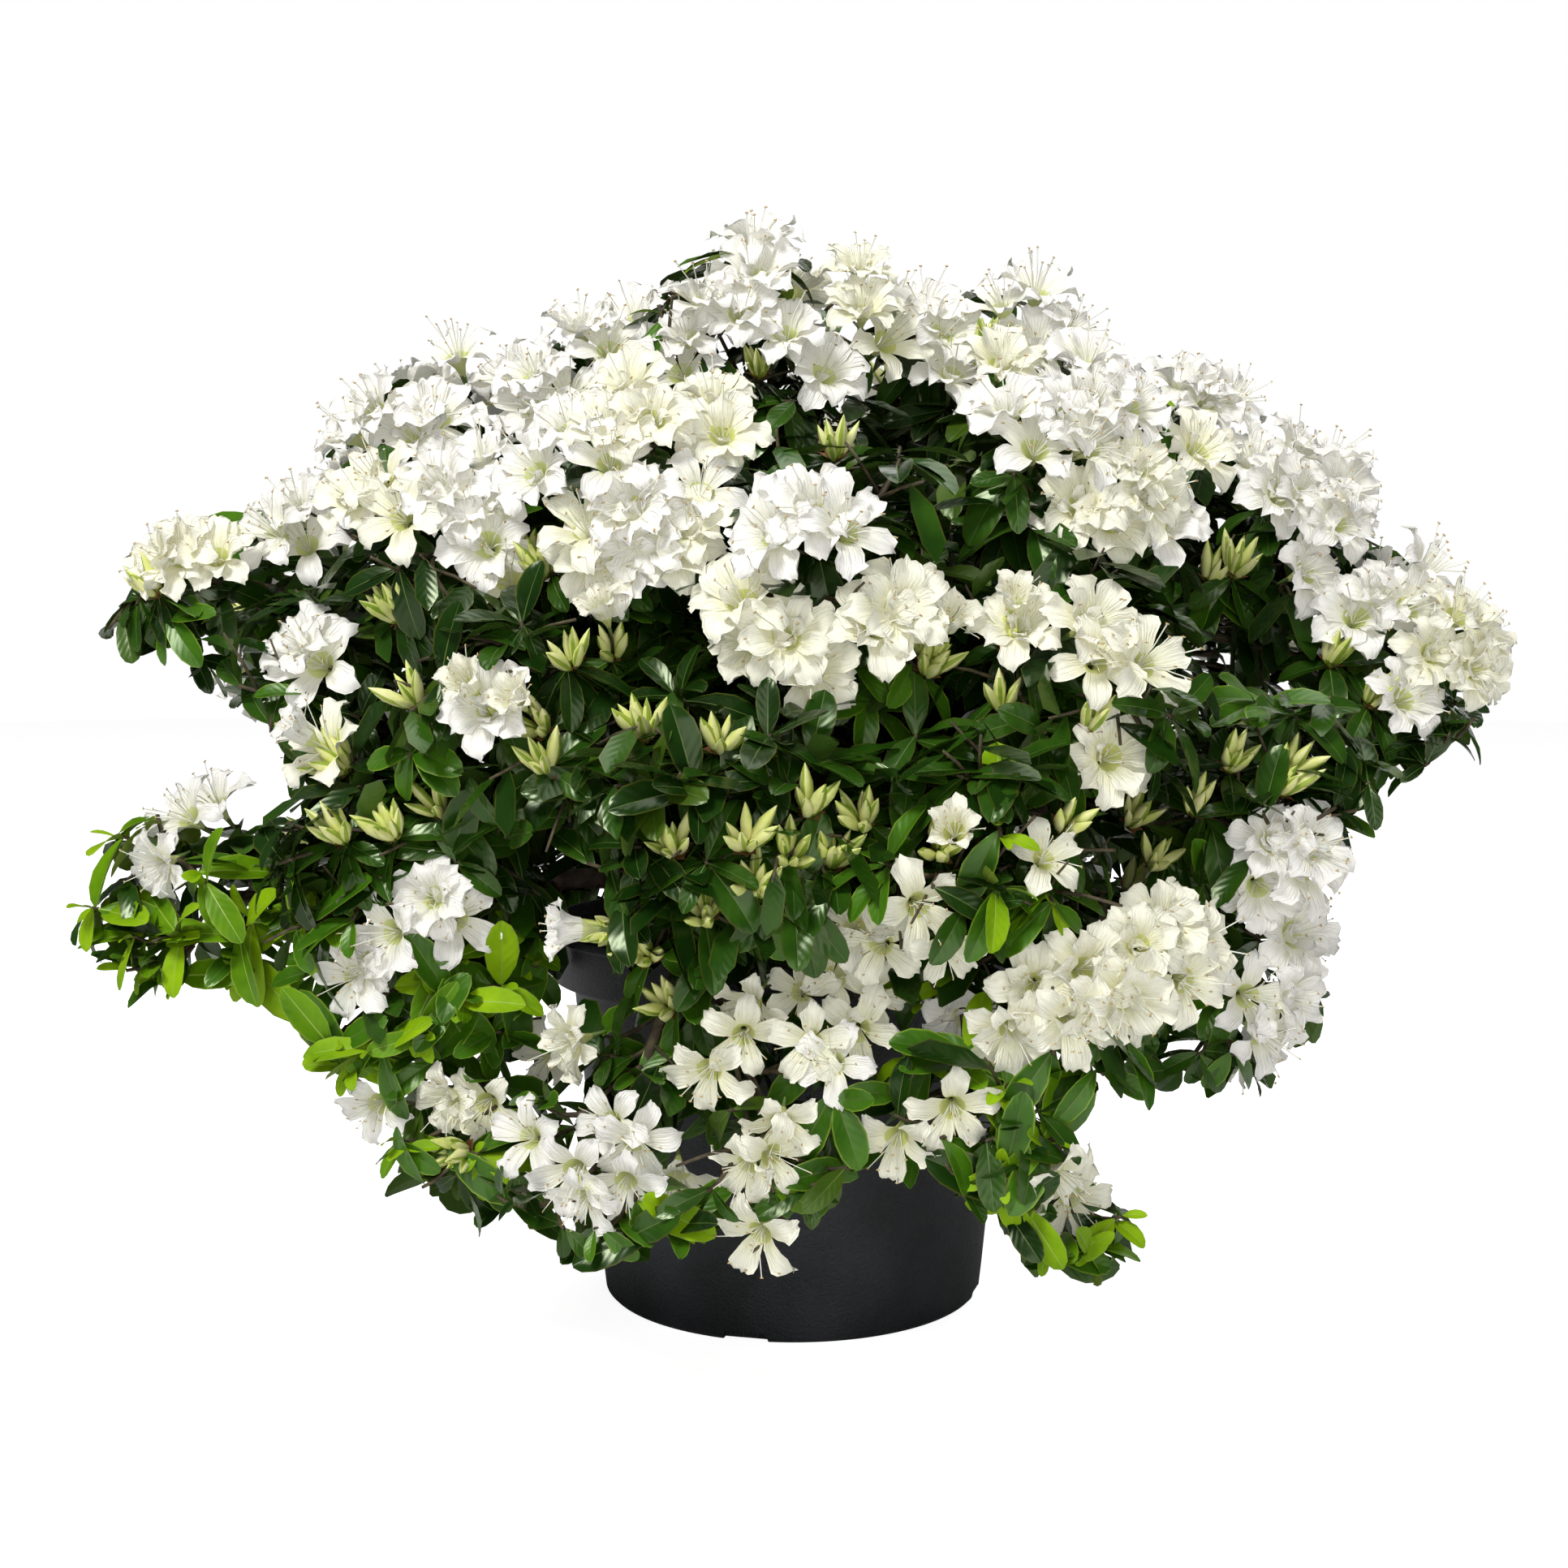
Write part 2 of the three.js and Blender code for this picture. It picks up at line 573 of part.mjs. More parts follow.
// The twig ends inside the flower, through the middle of one of the ten faces of its back.
function flowerAt(twig, space, random) {
  const grow = twig.tip.clone().sub(twig.from).normalize();
  const out = twig.along.clone().multiplyScalar(0.7).addScaledVector(grow, 0.6);
  for (let attempt = 0; attempt < FLOWER_TRIES; attempt += 1) {
    const facing = out.clone();
    facing.x += 0.9 * (random() - 0.5);
    facing.y += 0.9 * (random() - 0.5);
    facing.z += 0.15 + 0.9 * (random() - 0.5);
    facing.normalize();
    const across = new THREE.Vector3(random() - 0.5, random() - 0.5, random() - 0.5).cross(facing);
    const scale = lerp(1, 0.62, attempt / (FLOWER_TRIES - 1));
    const end = twig.tip.clone().addScaledVector(grow, -attempt);
    const aside = 0.34 * scale * FLOWER_RADIUS;
    const faceTurn = Math.PI / (2 * FLOWER_LOBES);
    const shape = flowerShape(scale);
    shape.translate(-aside * Math.cos(faceTurn), -0.4 * scale * FLOWER_DEPTH, -aside * Math.sin(faceTurn));
    shape.rotateX(Math.PI / 2);
    settle(shape, end.clone().addScaledVector(grow, -3), across, facing);
    if (fits(shape, space, twig.k)) {
      twig.tip = end;
      space.flowers.push({ k: twig.k, eye: end.clone().addScaledVector(facing, FLOWER_DEPTH * 0.5) });
      return solid(shape);
    }
  }
  return null;
}

function mass(name, stem) {
  const seed = SEED_STEP * MASSES[name][4];
  const space = { name, planes: planesOf(name), stem: `stem of ${name}`, flowers: [] };
  const kind = TIPS[MASSES[name][3]];
  const twigs = twigsOf(name, stem, space, numbers(seed));
  const random = numbers(seed + DETAIL_SEED);
  const shapes = [limb(stem, STEM_ROOT_RADIUS, STEM_END_RADIUS, TWIG_SIDES, STEM_STEPS)];
  for (const twig of twigs) {
    const [flowers, leaves] = kind[twig.k];
    const flower = flowers ? flowerAt(twig, space, random) : null;
    if (flower) shapes.push(flower);
    const line = new THREE.LineCurve3(twig.from, twig.tip);
    shapes.push(limb(line, TWIG_RADIUS, TWIG_RADIUS, TWIG_SIDES, 1));
    const count = flower ? leaves : Math.max(leaves, SPARE_LEAVES);
    const whorl = count ? whorlAt(twig, count, flower ? WHORL_BACK : 1, space, random) : null;
    if (whorl) shapes.push(whorl);
  }
  return oneBody(wasm.Manifold.union(shapes).asOriginal().simplify(FUSE_TOLERANCE));
}

// Assembly

const potPaint = paint(0x26282b, 0.55);
const soilPaint = paint(0x3a2a1e, 0.95);
const barkPaint = paint(0x5a4434, 0.85);
const massPaints = {
  flowers: paint(0xf4f5ef, 0.6),
  mixed: paint(0x8fae6a, 0.55),
  leaves: paint(0x2f5a2c, 0.45),
  skirt: paint(0xb9c99a, 0.55),
};

add('pot', pot(), potPaint);
add('soil', soil(), soilPaint);
add('trunk', trunk(0), barkPaint);

const boughs = boughCurves();
const trunkRoom = trunk(GAP);
for (const [name, curve] of Object.entries(boughs)) {
  const shape = limb(curve, BOUGH_ROOT_RADIUS, BOUGH_TIP_RADIUS, BOUGH_SIDES, BOUGH_STEPS);
  add(name, oneBody(shape.subtract(trunkRoom)).asOriginal().simplify(FUSE_TOLERANCE / 4), barkPaint);
  keepOff(name, curve, BOUGH_ROOT_RADIUS, BOUGH_TIP_RADIUS, BOUGH_STEPS);
}

const stems = {};
for (const [boughName, curve] of Object.entries(boughs)) {
  const names = Object.keys(MASSES).filter((name) => MASSES[name][0] === boughName);
  const along = curve.getTangent(1);
  const end = curve.getPoint(1).addScaledVector(along, GAP);
  const places = forkPlaces(end, along, STEM_RING, names.map((name) => vector(MASSES[name][1])));
  names.forEach((name, k) => {
    const middle = vector(MASSES[name][1]);
    const length = middle.distanceTo(places[k]);
    const knee = places[k].clone().addScaledVector(along, STEM_KNEE * length);
    stems[name] = new THREE.QuadraticBezierCurve3(places[k], knee, middle);
    keepOff(`stem of ${name}`, stems[name], STEM_ROOT_RADIUS, STEM_END_RADIUS, STEM_STEPS);
  });
}

for (const [name, [, , , kind]] of Object.entries(MASSES)) {
  add(name, mass(name, stems[name]), massPaints[kind]);
}

export default group;
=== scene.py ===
import math

import bmesh
import bpy
import numpy as np
from mathutils import Euler, Matrix, Vector, noise


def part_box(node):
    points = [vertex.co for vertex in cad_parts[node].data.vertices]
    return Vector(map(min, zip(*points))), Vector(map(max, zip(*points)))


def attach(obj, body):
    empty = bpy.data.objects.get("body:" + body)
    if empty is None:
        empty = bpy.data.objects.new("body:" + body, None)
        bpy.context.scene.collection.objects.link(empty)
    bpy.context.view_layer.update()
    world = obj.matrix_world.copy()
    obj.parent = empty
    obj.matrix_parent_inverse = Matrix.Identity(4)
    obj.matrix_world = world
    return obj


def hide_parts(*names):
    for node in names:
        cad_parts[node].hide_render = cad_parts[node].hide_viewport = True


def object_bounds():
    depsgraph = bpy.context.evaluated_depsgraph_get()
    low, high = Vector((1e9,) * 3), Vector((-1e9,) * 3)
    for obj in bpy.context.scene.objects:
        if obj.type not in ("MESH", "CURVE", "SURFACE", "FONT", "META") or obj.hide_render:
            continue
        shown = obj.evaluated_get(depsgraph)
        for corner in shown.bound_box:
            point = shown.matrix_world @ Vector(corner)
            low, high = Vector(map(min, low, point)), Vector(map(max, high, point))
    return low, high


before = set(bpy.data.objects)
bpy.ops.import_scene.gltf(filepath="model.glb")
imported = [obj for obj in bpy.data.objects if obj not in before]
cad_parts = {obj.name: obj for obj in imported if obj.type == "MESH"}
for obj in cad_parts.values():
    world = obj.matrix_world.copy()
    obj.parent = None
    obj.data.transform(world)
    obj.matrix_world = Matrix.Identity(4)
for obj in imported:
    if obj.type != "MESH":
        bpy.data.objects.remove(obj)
cad_low, cad_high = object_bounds()

# Pot: a round nursery pot of charcoal plastic, moulded in one piece. Its wall tapers to a stepped collar
# with a rolled rim, and its foot has shallow drain notches. The wall is turned and the notches cut out.

MM = 0.001
POT_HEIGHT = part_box("pot")[1].z / MM
RIM_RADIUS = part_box("pot")[1].x / MM
BASE_RADIUS = 87
NECK_RADIUS = 101
COLLAR_FOOT_RADIUS = 111
COLLAR_DEPTH = 25
WALL = 2.6
FLOOR = 7
POT_TURN_STEPS = 144
EDGE_ROUNDING = 0.8
NOTCH_SIZE = (12, 20, 9)
NOTCH_ROUNDING = 3
NOTCH_COUNT = 4
NOTCH_RING = 13
NOTCH_TURN = math.radians(-104)
SHARP_FROM = math.radians(40)
SEAM = 1e-3
GRAIN_HEIGHT = 0.0006
COAT_ROUGHNESS = 0.22
SCUFF_COLOUR = (0.004, 0.004, 0.004)
SCUFF_SHARE = 0.8


def link(name, mesh):
    """A new object of the scene, at the origin."""
    piece = bpy.data.objects.new(name, mesh)
    bpy.context.scene.collection.objects.link(piece)
    return piece


def mesh_of(bm, name, *materials):
    """The mesh modelled in millimetres, brought to metres, with smooth faces that meet in sharp edges."""
    bmesh.ops.scale(bm, vec=Vector((MM, MM, MM)), verts=bm.verts)
    mesh = bpy.data.meshes.new(name)
    bm.to_mesh(mesh)
    bm.free()
    for material in materials:
        mesh.materials.append(material)
    mesh.shade_smooth()
    mesh.set_sharp_from_angle(angle=SHARP_FROM)
    return mesh


def on_the_plant(piece, slot, *nodes):
    """The piece stands with the rest and stands for the nodes. The slot is not used."""
    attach(piece, "root")
    if nodes:
        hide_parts(*nodes)


def turned(profile, steps):
    """A closed body of revolution about Z from its profile of (radius, height) points."""
    bm = bmesh.new()
    corners = [bm.verts.new((r, 0, z)) for r, z in profile]
    for a, b in zip(corners, corners[1:]):
        bm.edges.new((a, b))
    bmesh.ops.spin(
        bm, geom=bm.verts[:] + bm.edges[:], cent=(0, 0, 0), axis=(0, 0, 1),
        angle=2 * math.pi, steps=steps, use_merge=True,
    )
    bmesh.ops.remove_doubles(bm, verts=bm.verts, dist=1e-4)
    bmesh.ops.recalc_face_normals(bm, faces=bm.faces)
    return bm


def pot_wall():
    """The wall from the middle of the foot up the outside, over the rim and down the inside."""
    foot = POT_HEIGHT - COLLAR_DEPTH
    bm = turned([
        (0, 0),
        (BASE_RADIUS - 2, 0),
        (BASE_RADIUS, 2),
        (BASE_RADIUS + (NECK_RADIUS - BASE_RADIUS) * NOTCH_RING / foot, NOTCH_RING),
        (NECK_RADIUS - 0.3, foot - 4),
        (NECK_RADIUS + 0.4, foot - 3),
        (NECK_RADIUS + 0.6, foot - 0.5),
        (COLLAR_FOOT_RADIUS - 0.6, foot),
        (COLLAR_FOOT_RADIUS, foot + 1.2),
        (RIM_RADIUS - 1.1, POT_HEIGHT - 5),
        (RIM_RADIUS, POT_HEIGHT - 4),
        (RIM_RADIUS, POT_HEIGHT - 0.8),
        (RIM_RADIUS - 0.8, POT_HEIGHT),
        (RIM_RADIUS - WALL, POT_HEIGHT),
        (COLLAR_FOOT_RADIUS - WALL, foot + WALL),
        (NECK_RADIUS - WALL, foot),
        (BASE_RADIUS - WALL, FLOOR),
        (0, FLOOR),
    ], POT_TURN_STEPS)
    rings = [e for e in bm.edges if len(e.link_faces) == 2 and e.calc_face_angle() > math.radians(25)]
    bmesh.ops.bevel(
        bm, geom=rings, offset=EDGE_ROUNDING / 2, segments=2, profile=0.5, affect="EDGES", material=-1,
    )
    return bm


def notch_cutter(turn):
    """A block with rounded long edges that cuts one drain notch."""
    bm = bmesh.new()
    bmesh.ops.create_cube(bm, size=1)
    bmesh.ops.scale(bm, vec=Vector(NOTCH_SIZE), verts=bm.verts)
    sides = [e for e in bm.edges if abs(e.verts[0].co.x - e.verts[1].co.x) > 1]
    bmesh.ops.bevel(
        bm, geom=sides, offset=NOTCH_ROUNDING, segments=5, profile=0.5, affect="EDGES", material=-1,
    )
    bmesh.ops.translate(bm, vec=Vector((BASE_RADIUS, 0, 0)), verts=bm.verts)
    bmesh.ops.rotate(bm, cent=(0, 0, 0), matrix=Matrix.Rotation(turn, 3, "Z"), verts=bm.verts)
    return link("notch_cutter", mesh_of(bm, "notch_cutter"))


def cut(piece, cutters):
    """Cuts each cutter out of the piece and throws the cutters away."""
    for cutter in cutters:
        modifier = piece.modifiers.new("cut", "BOOLEAN")
        modifier.object = cutter
    finished = bpy.data.meshes.new_from_object(piece.evaluated_get(bpy.context.evaluated_depsgraph_get()))
    piece.modifiers.clear()
    finished.set_sharp_from_angle(angle=SHARP_FROM)
    piece.data = finished
    for cutter in cutters:
        bpy.data.objects.remove(cutter)


def set_inputs(node, **values):
    """Puts plain values on a node's inputs, named with _ for each space."""
    for name, value in values.items():
        node.inputs[name.replace("_", " ")].default_value = value


def add_node(tree, kind, **values):
    """A new shader node with its values."""
    node = tree.nodes.new(f"ShaderNode{kind}")
    set_inputs(node, **values)
    return node


def add_group(tree, group, **values):
    """A new node that stands for a group, with its values."""
    node = tree.nodes.new("ShaderNodeGroup")
    node.node_tree = group
    set_inputs(node, **values)
    return node


def add_math(tree, operation, second=0.0):
    """A new maths node and its second number."""
    node = tree.nodes.new("ShaderNodeMath")
    node.operation = operation
    node.inputs[1].default_value = second
    return node


def add_colour_mix(tree, **colours):
    """A new mix of two colours, A and B, of which some are given."""
    node = tree.nodes.new("ShaderNodeMix")
    node.data_type = "RGBA"
    for name, colour in colours.items():
        node.inputs[name].default_value = (*colour, 1)
    return node


def wire(tree, *runs):
    """Joins nodes: each run is a node and its output, then a node and its input."""
    for source, output, target, given in runs:
        tree.links.new(source.outputs[output], target.inputs[given])


def tree_of(material):
    """A material's nodes and its shader."""
    material.use_nodes = True
    return material.node_tree, material.node_tree.nodes["Principled BSDF"]


def new_group(name, inputs, outputs):
    """An empty shader node group with named sockets."""
    group = bpy.data.node_groups.new(name, "ShaderNodeTree")
    for way, sockets in (("INPUT", inputs), ("OUTPUT", outputs)):
        for socket, kind in sockets.items():
            group.interface.new_socket(socket, in_out=way, socket_type=f"NodeSocket{kind}")
    return group, group.nodes.new("NodeGroupInput"), group.nodes.new("NodeGroupOutput")


def mottle_group():
    """Two colours mixed in soft clouds."""
    inputs = {"Vector": "Vector", "Scale": "Float", "Dark": "Color", "Light": "Color"}
    group, given, out = new_group("mottle", inputs, {"Color": "Color"})
    clouds = add_node(group, "TexNoise", Detail=3)
    spread = add_node(group, "MapRange", From_Min=0.35, From_Max=0.65)
    mix = add_colour_mix(group)
    wire(
        group,
        (given, "Vector", clouds, "Vector"),
        (given, "Scale", clouds, "Scale"),
        (clouds, "Fac", spread, "Value"),
        (spread, "Result", mix, "Factor"),
        (given, "Dark", mix, "A"),
        (given, "Light", mix, "B"),
        (mix, "Result", out, "Color"),
    )
    return group


def grain_group():
    """A bumpy surface: fine grain as a normal."""
    inputs = {"Vector": "Vector", "Scale": "Float", "Depth": "Float"}
    group, given, out = new_group("grain", inputs, {"Normal": "Vector"})
    grains = add_node(group, "TexNoise", Detail=4)
    bump = add_node(group, "Bump", Distance=GRAIN_HEIGHT)
    wire(
        group,
        (given, "Vector", grains, "Vector"),
        (given, "Scale", grains, "Scale"),
        (given, "Depth", bump, "Strength"),
        (grains, "Fac", bump, "Height"),
        (bump, "Normal", out, "Normal"),
    )
    return group


MOTTLE = mottle_group()
GRAIN = grain_group()


def mottled(name, dark, light, scale, roughness, grain_scale, grain_depth, coat=0.0):
    """A finish of two mottled colours with a fine grain, its plain values on the shader's own sockets."""
    material = bpy.data.materials.new(name)
    tree, shader = tree_of(material)
    set_inputs(shader, Roughness=roughness, Coat_Weight=coat, Coat_Roughness=COAT_ROUGHNESS)
    place = add_node(tree, "TexCoord")
    colours = add_group(tree, MOTTLE, Scale=scale, Dark=(*dark, 1), Light=(*light, 1))
    grain = add_group(tree, GRAIN, Scale=grain_scale, Depth=grain_depth)
    wire(
        tree,
        (place, "Object", colours, "Vector"),
        (place, "Object", grain, "Vector"),
        (colours, "Color", shader, "Base Color"),
        (grain, "Normal", shader, "Normal"),
    )
    return material


def scuffed(material):
    """Small dark scuffs and dried splashes, stretched downwards, over a material's colours."""
    tree, shader = tree_of(material)
    colours = shader.inputs["Base Color"].links[0].from_node
    place = add_node(tree, "TexCoord")
    stretch = add_node(tree, "Mapping", Scale=(1, 1, 0.35))
    spots = add_node(tree, "TexNoise", Scale=95, Detail=2)
    edge = add_node(tree, "MapRange", From_Min=0.71, From_Max=0.76, To_Max=SCUFF_SHARE)
    mix = add_colour_mix(tree, B=SCUFF_COLOUR)
    wire(
        tree,
        (place, "Object", stretch, "Vector"),
        (stretch, "Vector", spots, "Vector"),
        (spots, "Fac", edge, "Value"),
        (edge, "Result", mix, "Factor"),
        (colours, "Color", mix, "A"),
        (mix, "Result", shader, "Base Color"),
    )
    return material


pot_plastic = scuffed(
    mottled("pot_plastic", (0.005, 0.006, 0.0075), (0.02, 0.0225, 0.027), 24, 0.5, 900, 1.0)
)
pot = link("nursery_pot", mesh_of(pot_wall(), "nursery_pot", pot_plastic))
cut(pot, [notch_cutter(NOTCH_TURN + k * 2 * math.pi / NOTCH_COUNT) for k in range(NOTCH_COUNT)])
on_the_plant(pot, "pot_plastic", "pot")

# Compost: moist bark and peat that fills the pot to a little below its rim. Its top is uneven and
# strewn with crumbs and chips of bark. It is one turned body with crumbs sunk into it.

SOIL_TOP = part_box("soil")[1].z / MM
SOIL_RADIUS = COLLAR_FOOT_RADIUS - WALL
CRUMB_COUNT = 700
CRUMB_SIZE = (1.2, 3.6)
COMPOST_CLEARANCE = 0.3


def compost_top(r, turn):
    """How high the uneven surface lies at a place in the pot."""
    at = Vector((r * math.cos(turn), r * math.sin(turn), 0))
    return SOIL_TOP - 1.5 + 1.6 * noise.noise(at / 14) + 0.7 * noise.noise(at / 4)


def compost_body():
    """The filled inside of the pot with its uneven top, and the crumbs on it."""
    foot = POT_HEIGHT - COLLAR_DEPTH
    rings = [SOIL_RADIUS * k / 26 for k in range(26, -1, -1)]
    bm = turned([
        (0, FLOOR + COMPOST_CLEARANCE),
        (BASE_RADIUS - WALL - 2 * COMPOST_CLEARANCE, FLOOR + COMPOST_CLEARANCE),
        (NECK_RADIUS - WALL - 0.4, foot + COMPOST_CLEARANCE),
        (SOIL_RADIUS - 0.4, foot + WALL + COMPOST_CLEARANCE),
    ] + [(r, SOIL_TOP) for r in rings], 96)
    for v in bm.verts:
        if v.co.z > SOIL_TOP - 0.01:
            v.co.z = compost_top(v.co.xy.length, math.atan2(v.co.y, v.co.x))
    draws = np.random.RandomState(5)
    for _ in range(CRUMB_COUNT):
        r = (SOIL_RADIUS - 3) * math.sqrt(draws.uniform(0.01, 1))
        turn = draws.uniform(0, 2 * math.pi)
        size = draws.uniform(*CRUMB_SIZE)
        made = bmesh.ops.create_icosphere(bm, subdivisions=1, radius=size)["verts"]
        flat = Vector((draws.uniform(0.7, 1.3), draws.uniform(0.5, 1), draws.uniform(0.3, 0.7)))
        bmesh.ops.scale(bm, vec=flat, verts=made)
        tilt = Euler(draws.uniform(-1, 1, 3) * 0.9).to_matrix()
        bmesh.ops.rotate(bm, cent=(0, 0, 0), matrix=tilt, verts=made)
        at = Vector((r * math.cos(turn), r * math.sin(turn), compost_top(r, turn) + 0.2 * size))
        bmesh.ops.translate(bm, vec=at, verts=made)
    return bm


compost = mottled("compost", (0.012, 0.008, 0.006), (0.07, 0.042, 0.026), 190, 0.9, 900, 0.9)
soil = link("compost", mesh_of(compost_body(), "compost", compost))
on_the_plant(soil, "compost", "soil")

# Trunk and boughs: one short trunk, leaning a little, with a lobed root flare, and fourteen boughs that
# grow from its top and sides. Grey-brown bark with fine lengthwise fissures covers them all.

TRUNK_FOOT = SOIL_TOP + 0.3
TRUNK_TOP = 218
TRUNK_RADIUS = 12
TRUNK_FLARE = 9
TRUNK_LEAN = 4
ROOT_LOBES = 5
TRUNK_SUNK = 5
BOUGH_ROOT_RADIUS = 5.4
BOUGH_TIP_RADIUS = 4.6
BOUGH_KNEE = 0.45
FORK_RING = 6.6
GAP = 0.3
BARK_DEPTH = 0.55
TRUNK_SIDES = 48
BOUGH_SIDES = 16
LIMB_STEPS = 44
TRUNK_RELIEF = 1.3

# Main boughs: height on the trunk (or 'top' for the three that end it), tip, arch of the middle.
BOUGHS = {
    "bough_top": ("top", (-2, 32, 352), 10),
    "bough_upper_left": ("top", (-150, -14, 318), 22),
    "bough_upper_right": ("top", (172, 8, 305), 22),
    "bough_left": (195, (-140, -14, 236), 6),
    "bough_right": (195, (140, 2, 226), 6),
    "bough_front_high": (202, (-40, -82, 290), -26),
    "bough_front_right": (204, (84, -64, 292), -26),
    "bough_back_left": (204, (-110, 96, 285), -20),
    "bough_back_right": (202, (108, 112, 285), -20),
    "bough_back": (184, (0, 130, 226), 2),
    "bough_low_left": (184, (-138, -62, 192), 14),
    "bough_low_front_left": (184, (-36, -130, 188), 14),
    "bough_low_front_right": (195, (62, -126, 188), 12),
    "bough_low_right": (184, (126, -78, 194), 12),
}

UP = np.array((0.0, 0.0, 1.0))
UNIT_Y = np.array((0.0, 1.0, 0.0))


def unit(v):
    """The direction of v, with a length of one."""
    return v / np.linalg.norm(v)


def lerp(a, b, t):
    """What lies a share of the way from a to b."""
    return a + (b - a) * t


def bent(start, knee, end):
    """The curve from start to end that sets out towards the knee."""
    return lambda t: (1 - t) ** 2 * start + 2 * t * (1 - t) * knee + t * t * end


def heading(curve, t):
    """Which way a curve runs at a place on it."""
    return unit(curve(min(t + 1e-4, 1)) - curve(max(t - 1e-4, 0)))


def trunk_centre(z):
    """Where the middle of the leaning trunk is at a height."""
    t = (z - TRUNK_FOOT) / (TRUNK_TOP - TRUNK_FOOT)
    return np.array((TRUNK_LEAN * t * t, -TRUNK_LEAN * t / 2, z))


def across(along):
    """Two directions square to a limb's."""
    side = np.cross(UP, along)
    if np.linalg.norm(side) < 0.2:
        side = np.array((1.0, 0.0, 0.0))
    side = unit(side - along * side.dot(along))
    return side, np.cross(along, side)


def spoke(side, other, turn):
    """The direction at a turn between two directions square to a limb."""
    return side * math.cos(turn) + other * math.sin(turn)


def fork_places(end, along, ring, targets):
    """Places round the end of a limb for what grows on from it, one for each target, in turn order."""
    side, other = across(along)
    ways = [target - end for target in targets]
    turns = sorted((math.atan2(way.dot(other), way.dot(side)), k) for k, way in enumerate(ways))
    step = 2 * math.pi / len(turns)
    sine = sum(math.sin(turn - i * step) for i, (turn, _) in enumerate(turns))
    cosine = sum(math.cos(turn - i * step) for i, (turn, _) in enumerate(turns))
    first = math.atan2(sine, cosine)
    places = {}
    for i, (_, k) in enumerate(turns):
        places[k] = end + ring * spoke(side, other, first + i * step)
    return places


def bough_curves():
    """The bent middle line of each bough, from the trunk to its tip."""
    curves = {}
    tops = [name for name in BOUGHS if BOUGHS[name][0] == "top"]
    targets = [np.array(BOUGHS[name][1], float) for name in tops]
    places = fork_places(trunk_centre(TRUNK_TOP + GAP), UP, FORK_RING, targets)
    for name, (height, tip, arch) in BOUGHS.items():
        end = np.array(tip, float)
        if height == "top":
            start = places[tops.index(name)]
            knee = start + UP * (BOUGH_KNEE * (end[2] - start[2]) + arch)
        else:
            start = trunk_centre(height)
            knee = (start + end) / 2 + UP * arch
        curves[name] = bent(start, knee, end)
    return curves


def bark_relief(at, along_share, turn):
    """How far the bark stands out: long ridges broken by cracks, in millimetres."""
    ridges = noise.noise(Vector((3.2 * math.cos(turn), 3.2 * math.sin(turn), at[2] / 16)))
    cracks = noise.noise(Vector((7 * math.cos(turn), 7 * math.sin(turn), 9 * along_share + at[2] / 5)))
    return BARK_DEPTH * (1.2 * ridges + 0.7 * cracks)


def roll(verts, curve, radius_at):
    """Rolls a grid round a curve. Its radius is given for each place, turn and point of the curve."""
    side, other = across(heading(curve, 0))
    for v in verts:
        t = (v.co.y + 1) / 2
        turn = (v.co.x + 1) * math.pi
        along = heading(curve, t)
        out = unit(side - along * side.dot(along)) * math.cos(turn)
        out = out + unit(other - along * other.dot(along)) * math.sin(turn)
        at = curve(t)
        v.co = Vector(at + out * radius_at(t, turn, at))


def rolled_limb(bm, curve, radius_at, sides, relief):
    """A grid rolled round a curve into a closed limb with bark relief."""
    before = set(bm.faces)
    made = bmesh.ops.create_grid(bm, x_segments=sides, y_segments=LIMB_STEPS, size=1)["verts"]
    roll(made, curve, lambda t, turn, at: radius_at(t, turn) + relief * bark_relief(at, t, turn))
    bmesh.ops.remove_doubles(bm, verts=made, dist=SEAM)
    faces = [f for f in bm.faces if f not in before]
    rims = [e for f in faces for e in f.edges if e.is_boundary]
    bmesh.ops.holes_fill(bm, edges=list(set(rims)), sides=0)


def trunk_radius(t, turn):
    """The trunk's radius, with the lobes of its roots near the foot."""
    flare = TRUNK_FLARE * (1 - t) ** 4 * (0.65 + 0.35 * math.cos(ROOT_LOBES * turn + 1))
    return TRUNK_RADIUS * lerp(1.08, 0.96, t) + flare


BOUGH_CURVES = bough_curves()


def bark_mesh():
    """Trunk and boughs in one mesh. The trunk ends in a dome, and each bough has a thicker foot."""
    bm = bmesh.new()
    height = TRUNK_TOP + TRUNK_SUNK / 2 - TRUNK_FOOT
    rise = lambda t: trunk_centre(TRUNK_FOOT + height * t)
    dome = lambda t, turn: trunk_radius(t, turn) * min(1, 3.2 * math.sqrt(max(0.004, 1 - t)))
    rolled_limb(bm, rise, dome, TRUNK_SIDES, TRUNK_RELIEF)
    collared = lambda t, turn: lerp(BOUGH_ROOT_RADIUS, BOUGH_TIP_RADIUS, t) * (1 + 0.5 * (1 - t) ** 12)
    for curve in BOUGH_CURVES.values():
        rolled_limb(bm, curve, collared, BOUGH_SIDES, 1)
    bmesh.ops.recalc_face_normals(bm, faces=bm.faces)
    return bm


bark = mottled("bark", (0.05, 0.032, 0.022), (0.15, 0.105, 0.075), 160, 0.82, 1100, 0.8)
limbs = link("trunk_and_boughs", mesh_of(bark_mesh(), "trunk_and_boughs", bark))
on_the_plant(limbs, "bark", "trunk", *BOUGHS)

# Branching: each mass of foliage grows from one stem off its bough's tip and keeps to a space of its own,
# an ellipsoid cut by a plane towards each neighbour. Main twigs leave the stem by a seeded rule.

